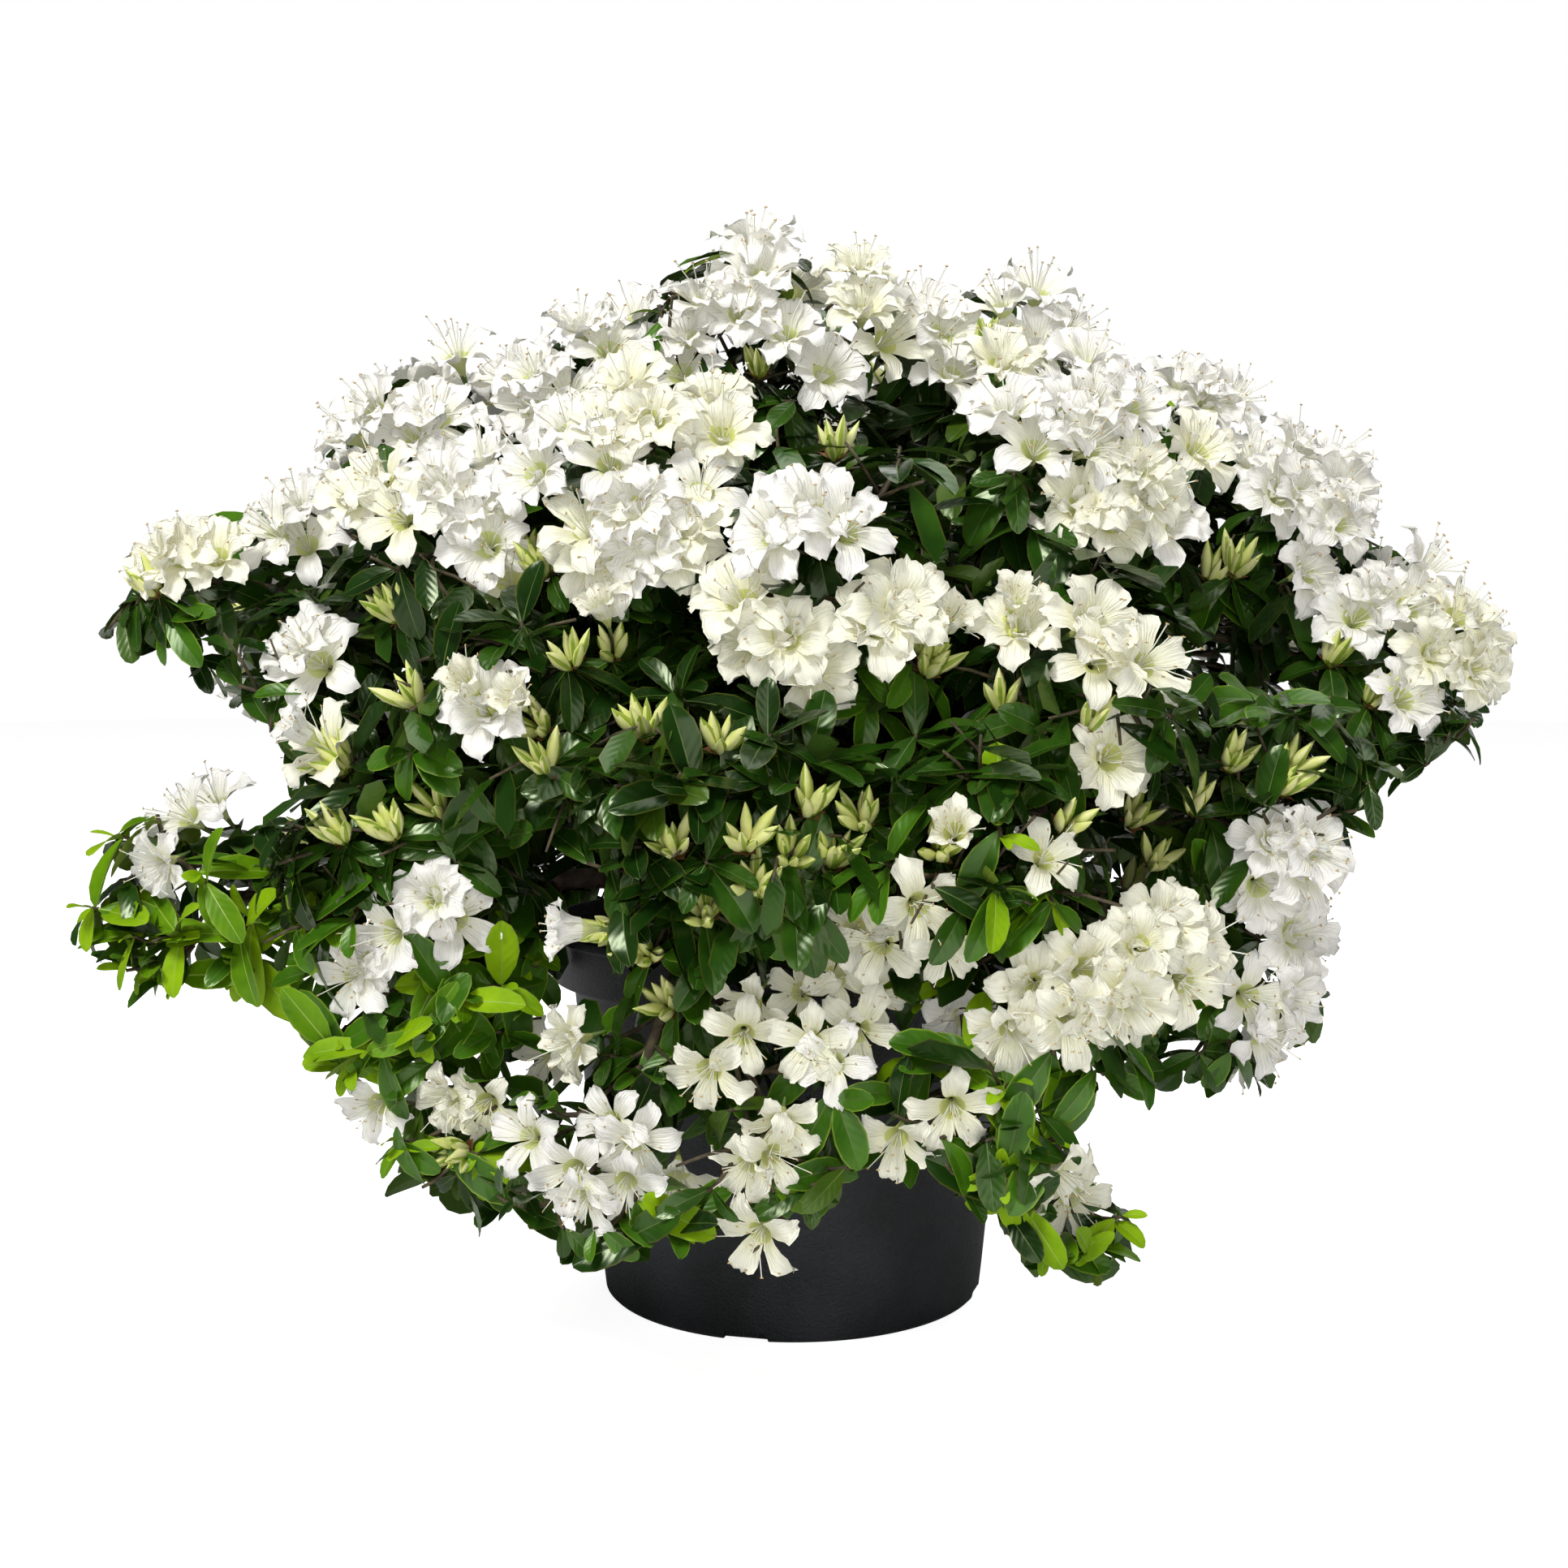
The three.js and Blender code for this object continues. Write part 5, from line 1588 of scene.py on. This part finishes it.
def bud_pattern(seed):
    """A bud drawn out of a ball, a little bent, green on two sides and at its foot."""
    draws = np.random.RandomState(seed)
    bm = bmesh.new()
    made = bmesh.ops.create_uvsphere(bm, u_segments=BUD_SIDES, v_segments=BUD_ROWS, radius=1)["verts"]
    bend = draws.uniform(-1.2, 1.2)
    for v in made:
        s = (v.co.z + 1) / 2
        ring = math.hypot(v.co.x, v.co.y)
        turn = math.atan2(v.co.y, v.co.x)
        r = BUD_RADIUS * np.interp(s, BUD_STOPS, BUD_GIRTH)
        r *= (1 + 0.1 * math.cos(4 * turn)) * (ring > 1e-4)
        v.co = Vector((r * math.cos(turn) + bend * s * s, BUD_LENGTH * s, r * math.sin(turn)))
    for f in bm.faces:
        middle = f.calc_center_median()
        sector = int((math.atan2(middle.z, middle.x) / (2 * math.pi) % 1) * BUD_SIDES)
        f.material_index = GREEN_SLOT if sector % 4 == 0 or middle.y < 2.5 else 0
    bmesh.ops.reverse_faces(bm, faces=bm.faces)
    return Pattern(bm)


def scale_pattern():
    """One small red-brown scale at the foot of a cluster."""
    bm = bmesh.new()
    made = bmesh.ops.create_grid(bm, x_segments=2, y_segments=3, size=1)["verts"]
    for v in made:
        s = (v.co.y + 1) / 2
        half = SCALE_HALF * np.interp(s, (0, 0.4, 0.75, 1), (0.6, 1, 0.7, 0.05))
        v.co = Vector((v.co.x * half, SCALE_LENGTH * s, 0.5 * abs(v.co.x) - 1.2 * s * s))
    give_slot(made, SCALE_SLOT)
    return Pattern(bm)


BUD_FINISHES = [
    mottled("bud_cream", (0.7, 0.76, 0.2), (0.92, 0.91, 0.44), 110, 0.45, 500, 0.15, 0.1),
    mottled("bud_green", (0.2, 0.32, 0.02), (0.42, 0.52, 0.07), 110, 0.45, 500, 0.15, 0.1),
    mottled("bud_scale", (0.16, 0.06, 0.025), (0.34, 0.16, 0.06), 200, 0.6, 500, 0.2),
]
BUD_PATTERNS = [bud_pattern(60 + k) for k in range(BUD_SHAPES)]
SCALE_PATTERN = scale_pattern()
BUDS = {zone: Strewn() for zone in ZONES}


def bud_cluster(tip, draws, count):
    """Buds that stand together on a tip, one in the middle and the rest leaning out, over their scales."""
    strewn = BUDS[ZONE_OF[tip["mass"]]]
    side, other = across(tip["facing"])
    first = draws.uniform(0, 2 * math.pi)
    for k in range(count):
        turn = first + k * GOLDEN_TURN
        lean = draws.uniform(0.05, 0.2) if k == 0 else draws.uniform(0.22, 0.62)
        out = spoke(side, other, turn)
        aim = unit(spoke(tip["facing"], out, lean))
        shape = BUD_PATTERNS[draws.randint(len(BUD_PATTERNS))]
        strewn.put(shape, standing(aim, jitter(draws, 1)), tip["at"] + out * 1.2, draws.uniform(*BUD_SIZE))
    for k in range(SCALES):
        turn = first + 1 + k * GOLDEN_TURN
        out = spoke(side, other, turn)
        aim = tip["facing"] * draws.uniform(0.6, 1.2) + out
        turned_out = standing(aim, tip["facing"] - out)
        strewn.put(SCALE_PATTERN, turned_out, tip["at"] - tip["facing"], draws.uniform(0.8, 1.2))
    HEADS_AT.append(tip["at"] + tip["facing"] * BUD_MIDDLE)
    HEAD_RADII.append(BUD_BACK)
    if tip["shown"]:
        SHOWN_AT.append(HEADS_AT[-1])


bud_draws = np.random.RandomState(37)
BUD_COUNTS = {"buds": (5, 10), "opening": (5, 8)}
for tip in TIPS:
    if tip["kind"] in BUD_COUNTS:
        bud_cluster(tip, bud_draws, bud_draws.randint(*BUD_COUNTS[tip["kind"]]))
join_by_zone(BUDS, "buds", BUD_FINISHES, "bud")

# Leaves: evergreen, elliptic with a blunt point, glossy dark green with a fine midrib, in whorls below
# each truss and singly down the twig. Young ones are bright yellow-green. Each is one folded, arching
# blade.

LEAF_LENGTH = 30
LEAF_WIDTH = 12.8
RIB_HALF = 0.25
LEAF_STOPS = (0, 0.14, 0.33, 0.56, 0.78, 0.93, 1)
LEAF_HALVES = (0.1, 0.46, 0.84, 1.0, 0.88, 0.56, 0.1)
INNER_COLUMNS = (-1, 0, 1)
RIB_SLOT = 1
RIB_SUNK = 0.3
SLOTS_PER_LEAF = 2
SHEEN = (0.86, 1.0, 0.66, 1)
VEIN_HEIGHT = 0.0006
VEIN_COUNT = 40
VEIN_SLANT = -0.55
BLADE_COLUMNS = (-1, -0.55, -0.04, 0.04, 0.55, 1)


def leaf_pattern(width, fold, arch, cup, wave, full):
    """A blade along Y with its upper face towards Z and its foot at the origin."""
    bm = bmesh.new()
    layer = bm.loops.layers.uv.new("surface")
    columns = BLADE_COLUMNS if full else INNER_COLUMNS
    stops = LEAF_STOPS if full else LEAF_STOPS[::2]
    x_last = len(columns) - 1
    y_last = len(stops) - 1
    made = bmesh.ops.create_grid(bm, x_segments=x_last, y_segments=y_last, size=1)["verts"]
    flat = {}
    for v in made:
        column = round((v.co.x + 1) / 2 * x_last)
        w = columns[column]
        s = stops[round((v.co.y + 1) / 2 * y_last)]
        flat[v] = (w, s)
        half = width / 2 * np.interp(s, LEAF_STOPS, LEAF_HALVES)
        x = w * half
        if 0 < abs(w) < 0.1:
            x = math.copysign(RIB_HALF * (1.3 - s), w)
        rise = abs(x) * fold - cup * w * w + wave * w * w * math.sin(8 * s + 2 * w)
        if abs(w) < 0.1:
            rise -= RIB_SUNK
        bend = arch * s
        ahead = LEAF_LENGTH * math.sin(bend) / arch
        drop = LEAF_LENGTH * (1 - math.cos(bend)) / arch
        v.co = Vector((x, ahead, rise - drop))
    for f in bm.faces:
        middle = sum(flat[v][0] for v in f.verts) / len(f.verts)
        f.material_index = RIB_SLOT if full and abs(middle) < 0.03 else 0
        for loop in f.loops:
            w, s = flat[loop.vert]
            loop[layer].uv = ((w + 1) / 2, s)
    bmesh.ops.remove_doubles(bm, verts=bm.verts, dist=0.02)
    bm.verts.index_update()
    return Pattern(bm)


def veins_group():
    """Side veins that run forwards from the midrib, as a normal, and the blade's thin edge, as a mask."""
    inputs = {"Surface": "Vector", "Depth": "Float"}
    group, given, out = new_group("veins", inputs, {"Normal": "Vector", "Edge": "Float"})
    parts = add_node(group, "SeparateXYZ")
    centre = add_math(group, "SUBTRACT", 0.5)
    fold = add_math(group, "ABSOLUTE")
    slant = add_math(group, "MULTIPLY_ADD", VEIN_SLANT)
    count = add_math(group, "MULTIPLY", VEIN_COUNT)
    wave = add_math(group, "SINE")
    bump = add_node(group, "Bump", Distance=VEIN_HEIGHT)
    edge = add_node(group, "MapRange", From_Min=0.43, From_Max=0.5)
    wire(
        group,
        (given, "Surface", parts, "Vector"),
        (parts, "X", centre, 0),
        (centre, "Value", fold, 0),
        (fold, "Value", slant, 0),
        (fold, "Value", edge, "Value"),
        (parts, "Y", slant, 2),
        (slant, "Value", count, 0),
        (count, "Value", wave, 0),
        (wave, "Value", bump, "Height"),
        (given, "Depth", bump, "Strength"),
        (bump, "Normal", out, "Normal"),
        (edge, "Result", out, "Edge"),
    )
    return group


VEINS = veins_group()


def leaf_finish(name, dark, light, edge, under, roughness, vein_depth, shine=0.5):
    """A leaf: mottled green with a thin paler edge, duller and paler beneath, and faint side veins."""
    material = mottled(name, dark, light, 45, roughness, 600, 0.1)
    tree, shader = tree_of(material)
    set_inputs(shader, Specular_IOR_Level=shine, Specular_Tint=SHEEN)
    colours = shader.inputs["Base Color"].links[0].from_node
    surface = tree.nodes.new("ShaderNodeUVMap")
    surface.uv_map = "surface"
    veins = add_group(tree, VEINS, Depth=vein_depth)
    rim = add_colour_mix(tree, B=edge)
    facing = add_node(tree, "NewGeometry")
    turned_over = add_colour_mix(tree, B=under)
    wire(
        tree,
        (surface, "UV", veins, "Surface"),
        (veins, "Normal", shader, "Normal"),
        (veins, "Edge", rim, "Factor"),
        (colours, "Color", rim, "A"),
        (facing, "Backfacing", turned_over, "Factor"),
        (rim, "Result", turned_over, "A"),
        (turned_over, "Result", shader, "Base Color"),
    )
    return material


RIB = mottled("leaf_rib", (0.07, 0.12, 0.02), (0.12, 0.18, 0.035), 60, 0.45, 600, 0.1)
FRESH_RIB = mottled("fresh_rib", (0.26, 0.4, 0.04), (0.34, 0.48, 0.08), 60, 0.5, 600, 0.1)
OLD_EDGE = (0.07, 0.08, 0.012)
FRESH_EDGE = (0.22, 0.34, 0.03)
UNDERSIDE = (0.055, 0.11, 0.016)
FRESH_UNDERSIDE = (0.19, 0.28, 0.03)
LEAF_COLOURS = {
    # The deep green is partly painted shade: an old leaf's dark green, darkened further to stand for the
    # shade inside the crown.
    "leaf_deep_painted_shade": ((0.005, 0.022, 0.002), (0.011, 0.04, 0.003), OLD_EDGE, UNDERSIDE, 0.24, 0.06),
    "leaf_dark": ((0.013, 0.05, 0.003), (0.03, 0.09, 0.006), OLD_EDGE, UNDERSIDE, 0.24, 0.06),
    "leaf_olive": ((0.034, 0.078, 0.003), (0.062, 0.12, 0.007), OLD_EDGE, UNDERSIDE, 0.34, 0.07),
    "leaf_mid": ((0.03, 0.105, 0.003), (0.062, 0.175, 0.006), FRESH_EDGE, UNDERSIDE, 0.3, 0.07),
}
FRESH_COLOURS = {
    "leaf_fresh": ((0.17, 0.33, 0.001), (0.3, 0.5, 0.002), FRESH_EDGE, FRESH_UNDERSIDE, 0.6, 0.08, 0.25),
    "leaf_spring": ((0.07, 0.18, 0.001), (0.14, 0.3, 0.003), FRESH_EDGE, FRESH_UNDERSIDE, 0.4, 0.07, 0.3),
}
LEAF_FINISHES = []
for name, row in LEAF_COLOURS.items():
    LEAF_FINISHES += [leaf_finish(name, *row), RIB]
FRESH_FINISHES = []
for name, row in FRESH_COLOURS.items():
    FRESH_FINISHES += [leaf_finish(name, *row), FRESH_RIB]
# Shares of deep, dark, olive and mid green leaves, in the shade of the crown and low down in front. The
# deep green is partly painted shade, so the crown takes more of it.
CROWN_TONES = (0.3, 0.52, 0.08, 0.1)
LOW_TONES = (0.1, 0.4, 0.08, 0.42)
LOW_MASSES = {"spray_left", "low_left", "low_right", "right_low"} | set(ZONES["skirts"])
leaf_draws = np.random.RandomState(3)
BLADES = [
    leaf_pattern(
        LEAF_WIDTH * leaf_draws.uniform(0.86, 1.12), leaf_draws.uniform(0.15, 0.5),
        leaf_draws.uniform(0.15, 1.0), leaf_draws.uniform(0.2, 1.2), leaf_draws.uniform(0, 0.6), True,
    )
    for _ in range(14)
]
INNER_BLADES = [
    leaf_pattern(LEAF_WIDTH, leaf_draws.uniform(0.1, 0.4), leaf_draws.uniform(0.2, 0.9), 0.5, 0, False)
    for _ in range(5)
]
LEAVES = {zone: Strewn() for zone in ZONES}
FRESH = {zone: Strewn() for zone in ZONES}
HEADS = np.array(HEADS_AT)
RADII = np.array(HEAD_RADII)
SHOWN_PLACES = np.array([photo_place(at) for at in SHOWN_AT])
SHOWN_FAR = np.linalg.norm(np.array(SHOWN_AT) - EYE, axis=1)
COVERED = 32
LEAF_PROUD = 3
FLAT_IN_BLOSSOM = 0.3
# How a leaf that finds no room tries again: degrees further back, and how much shorter.
BENT_BACK = ((0, 1), (18, 0.9), (36, 0.75), (10, 0.55))
MIDDLE_LOW = (-125, -150, 250)
MIDDLE_HIGH = (125, 60, 400)
ROOMS_LOW = np.vstack([np.array([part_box(name)[0] for name in MASSES]) / MM - LEAF_PROUD, MIDDLE_LOW])
ROOMS_HIGH = np.vstack([np.array([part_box(name)[1] for name in MASSES]) / MM + LEAF_PROUD, MIDDLE_HIGH])


def covers_a_head(at):
    """Whether a point hangs in front of a flower or a bud that shows."""
    near = np.linalg.norm(SHOWN_PLACES - photo_place(at), axis=1) < COVERED
    return bool((near & (SHOWN_FAR > np.linalg.norm(at - EYE))).any())


def in_a_head(foot, along, length):
    """Whether a leaf would stand in an open flower or a bud."""
    points = foot + np.outer((0.4, 0.7, 1.0), along * length)
    return bool((np.linalg.norm(HEADS[None] - points[:, None], axis=2) < RADII).any())


def put_leaf(name, strewn, blades, foot, along, upper, length, tone, draws, in_front=False):
    """One leaf of a mass, along a direction with its upper face the given way. False where it has no room.

    Its end stays in the space of one of the masses, or in the middle that they enclose, and in the outline.
    It doesn't stand up between the flowers, and doesn't hang before one that shows unless it is in front.
    """
    along = unit(along + jitter(draws, 0.1))
    shape = blades[draws.randint(len(blades))]
    turn = standing(along, upper + jitter(draws, 0.18))
    end = foot + along * length
    if not ((end > ROOMS_LOW) & (end < ROOMS_HIGH)).all(axis=1).any():
        return False
    if MASSES[name][3] == "flowers" and along[2] > FLAT_IN_BLOSSOM:
        return False
    if in_a_head(foot, along, length) or not clear_of_pot(end, 1):
        return False
    if not in_outline(end, 0) or not in_front and (covers_a_head(end) or covers_a_head((foot + end) / 2)):
        return False
    return strewn.put(shape, turn, foot, length / LEAF_LENGTH, SLOTS_PER_LEAF * tone)


def tone_of(name, draws):
    """Which green the leaves of one tip take."""
    return int(draws.choice(4, p=LOW_TONES if name in LOW_MASSES else CROWN_TONES))


def whorl(tip, draws, strewn, tone, count, lengths, spreads, droop):
    """Leaves round the end of a twig. One that would stand in a flower bends back from it."""
    grow = unit(heading(tip["twig"], 1) * 0.6 + tip["facing"])
    side, other = across(grow)
    first = draws.uniform(0, 2 * math.pi)
    for k in range(count):
        share = k / max(1, count - 1)
        turn = first + k * GOLDEN_TURN + draws.uniform(-0.25, 0.25)
        out = spoke(side, other, turn)
        foot = tip["twig"](1 - 0.2 * (1 - share)) + out * TWIG_TIP_RADIUS
        length = draws.uniform(*lengths) * lerp(1.08, 0.86, share)
        in_front = tip["shown"] and tip["kind"] in ("leaf", "fresh")
        upper = grow + UP * 0.4
        for further, shorter in BENT_BACK:
            spread = math.radians(lerp(spreads[1], spreads[0], share) + further + draws.uniform(-8, 8))
            along = spoke(grow, out, spread) - UP * (draws.uniform(*droop) + further / 90)
            short = length * shorter
            if put_leaf(tip["mass"], strewn, BLADES, foot, along, upper, short, tone, draws, in_front):
                break


def twig_leaves(tip, draws, strewn, tone, count):
    """Single leaves down a twig, alternate, out of the way of the whorl."""
    for k in range(count):
        t = lerp(0.35, 0.85, (k + draws.uniform(0.2, 0.8)) / count)
        grow = heading(tip["twig"], t)
        side, other = across(grow)
        turn = k * GOLDEN_TURN + draws.uniform(0, 1)
        out = spoke(side, other, turn)
        along = grow * 0.5 + out - UP * draws.uniform(0, 0.4)
        length = draws.uniform(20, 31)
        put_leaf(tip["mass"], strewn, BLADES, tip["twig"](t), along, UP + grow * 0.3, length, tone, draws)


# Leaves round a tip that isn't fresh: how many, their spread from the twig in degrees, and their droop.
ROUND_TIP = {
    "leaf": (7, (35, 95), (0, 0.35)),
    "buds": (8, (70, 112), (0, 0.4)),
    "open": (7, (88, 118), (0.1, 0.5)),
    "opening": (7, (88, 118), (0.1, 0.5)),
}
OLD_LENGTH = (24, 34)
LOWEST_LENGTH = (28, 38)
FRESH_LENGTH = (26, 36)
SMALL_LENGTH = (11, 18)
MID_GREEN = 3
SPRING_GREEN = 1
SPRING_SHARE = 0.4

whorl_draws = np.random.RandomState(43)
for tip in TIPS:
    zone = ZONE_OF[tip["mass"]]
    tone = tone_of(tip["mass"], whorl_draws)
    if tip["kind"] == "fresh":
        if tip["mass"] == "spray_left":
            whorl(tip, whorl_draws, FRESH[zone], SPRING_GREEN, 3, LOWEST_LENGTH, (80, 105), (0, 0.3))
        else:
            whorl(tip, whorl_draws, LEAVES[zone], MID_GREEN, 4, LOWEST_LENGTH, (75, 105), (0, 0.3))
        young = SPRING_GREEN if whorl_draws.uniform() < SPRING_SHARE else 0
        whorl(tip, whorl_draws, FRESH[zone], young, 3, FRESH_LENGTH, (45, 80), (0, 0.2))
        whorl(tip, whorl_draws, FRESH[zone], 0, 2, SMALL_LENGTH, (12, 32), (0, 0.1))
        twig_leaves(tip, whorl_draws, FRESH[zone], SPRING_GREEN, 2)
        twig_leaves(tip, whorl_draws, LEAVES[zone], MID_GREEN, 2)
    else:
        count, spreads, droop = ROUND_TIP[tip["kind"]]
        count -= 2 if tip["mass"] in LOW_MASSES else 0
        whorl(tip, whorl_draws, LEAVES[zone], tone, count, OLD_LENGTH, spreads, droop)
        twig_leaves(tip, whorl_draws, LEAVES[zone], tone, 3)

# Inner shoots: shaded side shoots with older leaves, most of them in the deep green that paints the shade
# inside the crown, which make the crown's dense inside.
# Longer ones off the high boughs close the crown's middle.

SHOOTS_PER_MASS = 32
SHOOTS_IN_OPEN_MASS = 5
OPEN_MASSES = LOW_MASSES | {"arm_left", "arm_right"}
SHOOTS_PER_BOUGH = 34
SHOOT_LENGTH = (16, 34)
SHOOT_LEAVES = 6
MIDDLE_BOUGHS = (
    "bough_top", "bough_upper_left", "bough_upper_right", "bough_front_high", "bough_front_right",
)
SHOOTS_IN_MIDDLE = 60
MIDDLE_SHOOT_LENGTH = (30, 100)
MIDDLE_SHOOT_RISE = 0.8
SHOOT_LEAF_LENGTH = (22, 33)
PAINTED_SHADE_SHARE = 0.65


def inner_shoot(name, curve, t, draws, lengths=SHOOT_LENGTH, rise=0.0):
    """A shoot with a few simpler leaves, off a stem, a twig or a bough."""
    zone = ZONE_OF[name]
    start = curve(t)
    outward = unit(start - CROWN_CORE)
    along = unit(heading(curve, t) * 0.5 + outward * 0.3 + UP * rise + jitter(draws, 0.7))
    end = start + along * draws.uniform(*lengths)
    if not clear_of_pot(end, 8) or not clear_of_pot(start, 1) or not in_outline(end, TIP_MARGIN_SEEN):
        return
    shoot = bent(start, (start + end) / 2 + UP * 2, end)
    TWIGS[zone].put(tube(shoot, SHOOT_RADIUS, 0.6, 4, 2), STILL, NOWHERE)
    side, other = across(along)
    for j in range(SHOOT_LEAVES):
        turn = j * GOLDEN_TURN + draws.uniform(0, 0.6)
        out = spoke(side, other, turn)
        foot = shoot(lerp(0.55, 1, j / (SHOOT_LEAVES - 1)))
        aim = along * 0.55 + out - UP * 0.2
        # Most of these leaves take the deep green, painted shade for the inside of the crown.
        tone = 0 if draws.uniform() < PAINTED_SHADE_SHARE else 1
        length = draws.uniform(*SHOOT_LEAF_LENGTH)
        put_leaf(name, LEAVES[zone], INNER_BLADES, foot, aim, UP + along * 0.4, length, tone, draws)


shoot_draws = np.random.RandomState(31)
for name in MASSES:
    carriers = [tip["twig"] for tip in TIPS if tip["mass"] == name] + MAINS[name] + [STEMS[name]] * 3
    for _ in range(SHOOTS_IN_OPEN_MASS if name in OPEN_MASSES else SHOOTS_PER_MASS):
        carried_by = carriers[shoot_draws.randint(len(carriers))]
        inner_shoot(name, carried_by, shoot_draws.uniform(0.15, 0.7), shoot_draws)
FIRST_MASS = {bough: next(name for name in MASSES if MASSES[name][0] == bough) for bough in BOUGH_CURVES}
for bough, curve in BOUGH_CURVES.items():
    for _ in range(SHOOTS_PER_BOUGH):
        inner_shoot(FIRST_MASS[bough], curve, shoot_draws.uniform(0.25, 1), shoot_draws)
for bough in MIDDLE_BOUGHS:
    curve = BOUGH_CURVES[bough]
    for _ in range(SHOOTS_IN_MIDDLE):
        t = shoot_draws.uniform(0.3, 1)
        inner_shoot(FIRST_MASS[bough], curve, t, shoot_draws, MIDDLE_SHOOT_LENGTH, MIDDLE_SHOOT_RISE)
join_by_zone(LEAVES, "leaves", LEAF_FINISHES, "leaf")
join_by_zone(FRESH, "fresh_leaves", FRESH_FINISHES, "fresh_leaf")
join_by_zone(TWIGS, "twigs", [young_bark], "bark")

# Stage: a plain pale floor in a white room under four soft lights, and the camera at the photo's place.
# None of it belongs to the object.

FLOOR_RADIUS = 5.0
ROOM_LIGHT = 0.07
FLOOR_GLOW = 0.9
MIDDLE_OF_CROWN = Vector((0, 0, 0.25))

floor_bm = bmesh.new()
bmesh.ops.create_circle(floor_bm, cap_ends=True, segments=96, radius=FLOOR_RADIUS / MM)
floor_paint = mottled("floor", (0.84, 0.84, 0.84), (0.86, 0.86, 0.86), 3, 0.8, 40, 0.02)
floor_tree, floor_shader = tree_of(floor_paint)
set_inputs(floor_shader, Emission_Color=(1, 1, 1, 1))
seen_floor = add_node(floor_tree, "LightPath")
glow = add_math(floor_tree, "MULTIPLY", FLOOR_GLOW)
wire(
    floor_tree,
    (seen_floor, "Is Camera Ray", glow, 0),
    (glow, "Value", floor_shader, "Emission Strength"),
)
floor = link("floor", mesh_of(floor_bm, "floor", floor_paint))

world = bpy.data.worlds.new("studio")
bpy.context.scene.world = world
world.use_nodes = True
walls = world.node_tree.nodes["Background"]
walls.inputs["Color"].default_value = (1, 1, 1, 1)
seen = add_node(world.node_tree, "LightPath")
level = add_node(world.node_tree, "MapRange", To_Min=ROOM_LIGHT, To_Max=1)
wire(
    world.node_tree,
    (seen, "Is Camera Ray", level, "Value"),
    (level, "Result", walls, "Strength"),
)


def soft_light(name, place, size, power):
    """A large square light that faces the middle of the crown."""
    data = bpy.data.lights.new(name, "AREA")
    data.size = size
    data.energy = power
    light = bpy.data.objects.new(name, data)
    light.location = place
    light.rotation_euler = (MIDDLE_OF_CROWN - Vector(place)).to_track_quat("-Z", "Y").to_euler()
    bpy.context.scene.collection.objects.link(light)


soft_light("key", (-0.8, -1.3, 1.8), 0.6, 35)
soft_light("front", (0.4, -2.0, 0.6), 1.5, 13)
soft_light("top", (0.3, 0.2, 2.0), 1.2, 13)
soft_light("back", (0.6, 1.7, 1.1), 1.4, 12)

camera_data = bpy.data.cameras.new("camera")
camera_data.sensor_width = 36
camera_data.lens = FOCAL_PIXELS / PHOTO_SIZE * camera_data.sensor_width
camera = bpy.data.objects.new("camera", camera_data)
camera.location = Vector(EYE * MM)
camera.rotation_euler = (math.pi / 2 - EYE_PITCH, 0, 0)
bpy.context.scene.collection.objects.link(camera)
bpy.context.scene.camera = camera
bpy.context.scene.view_settings.view_transform = "Standard"
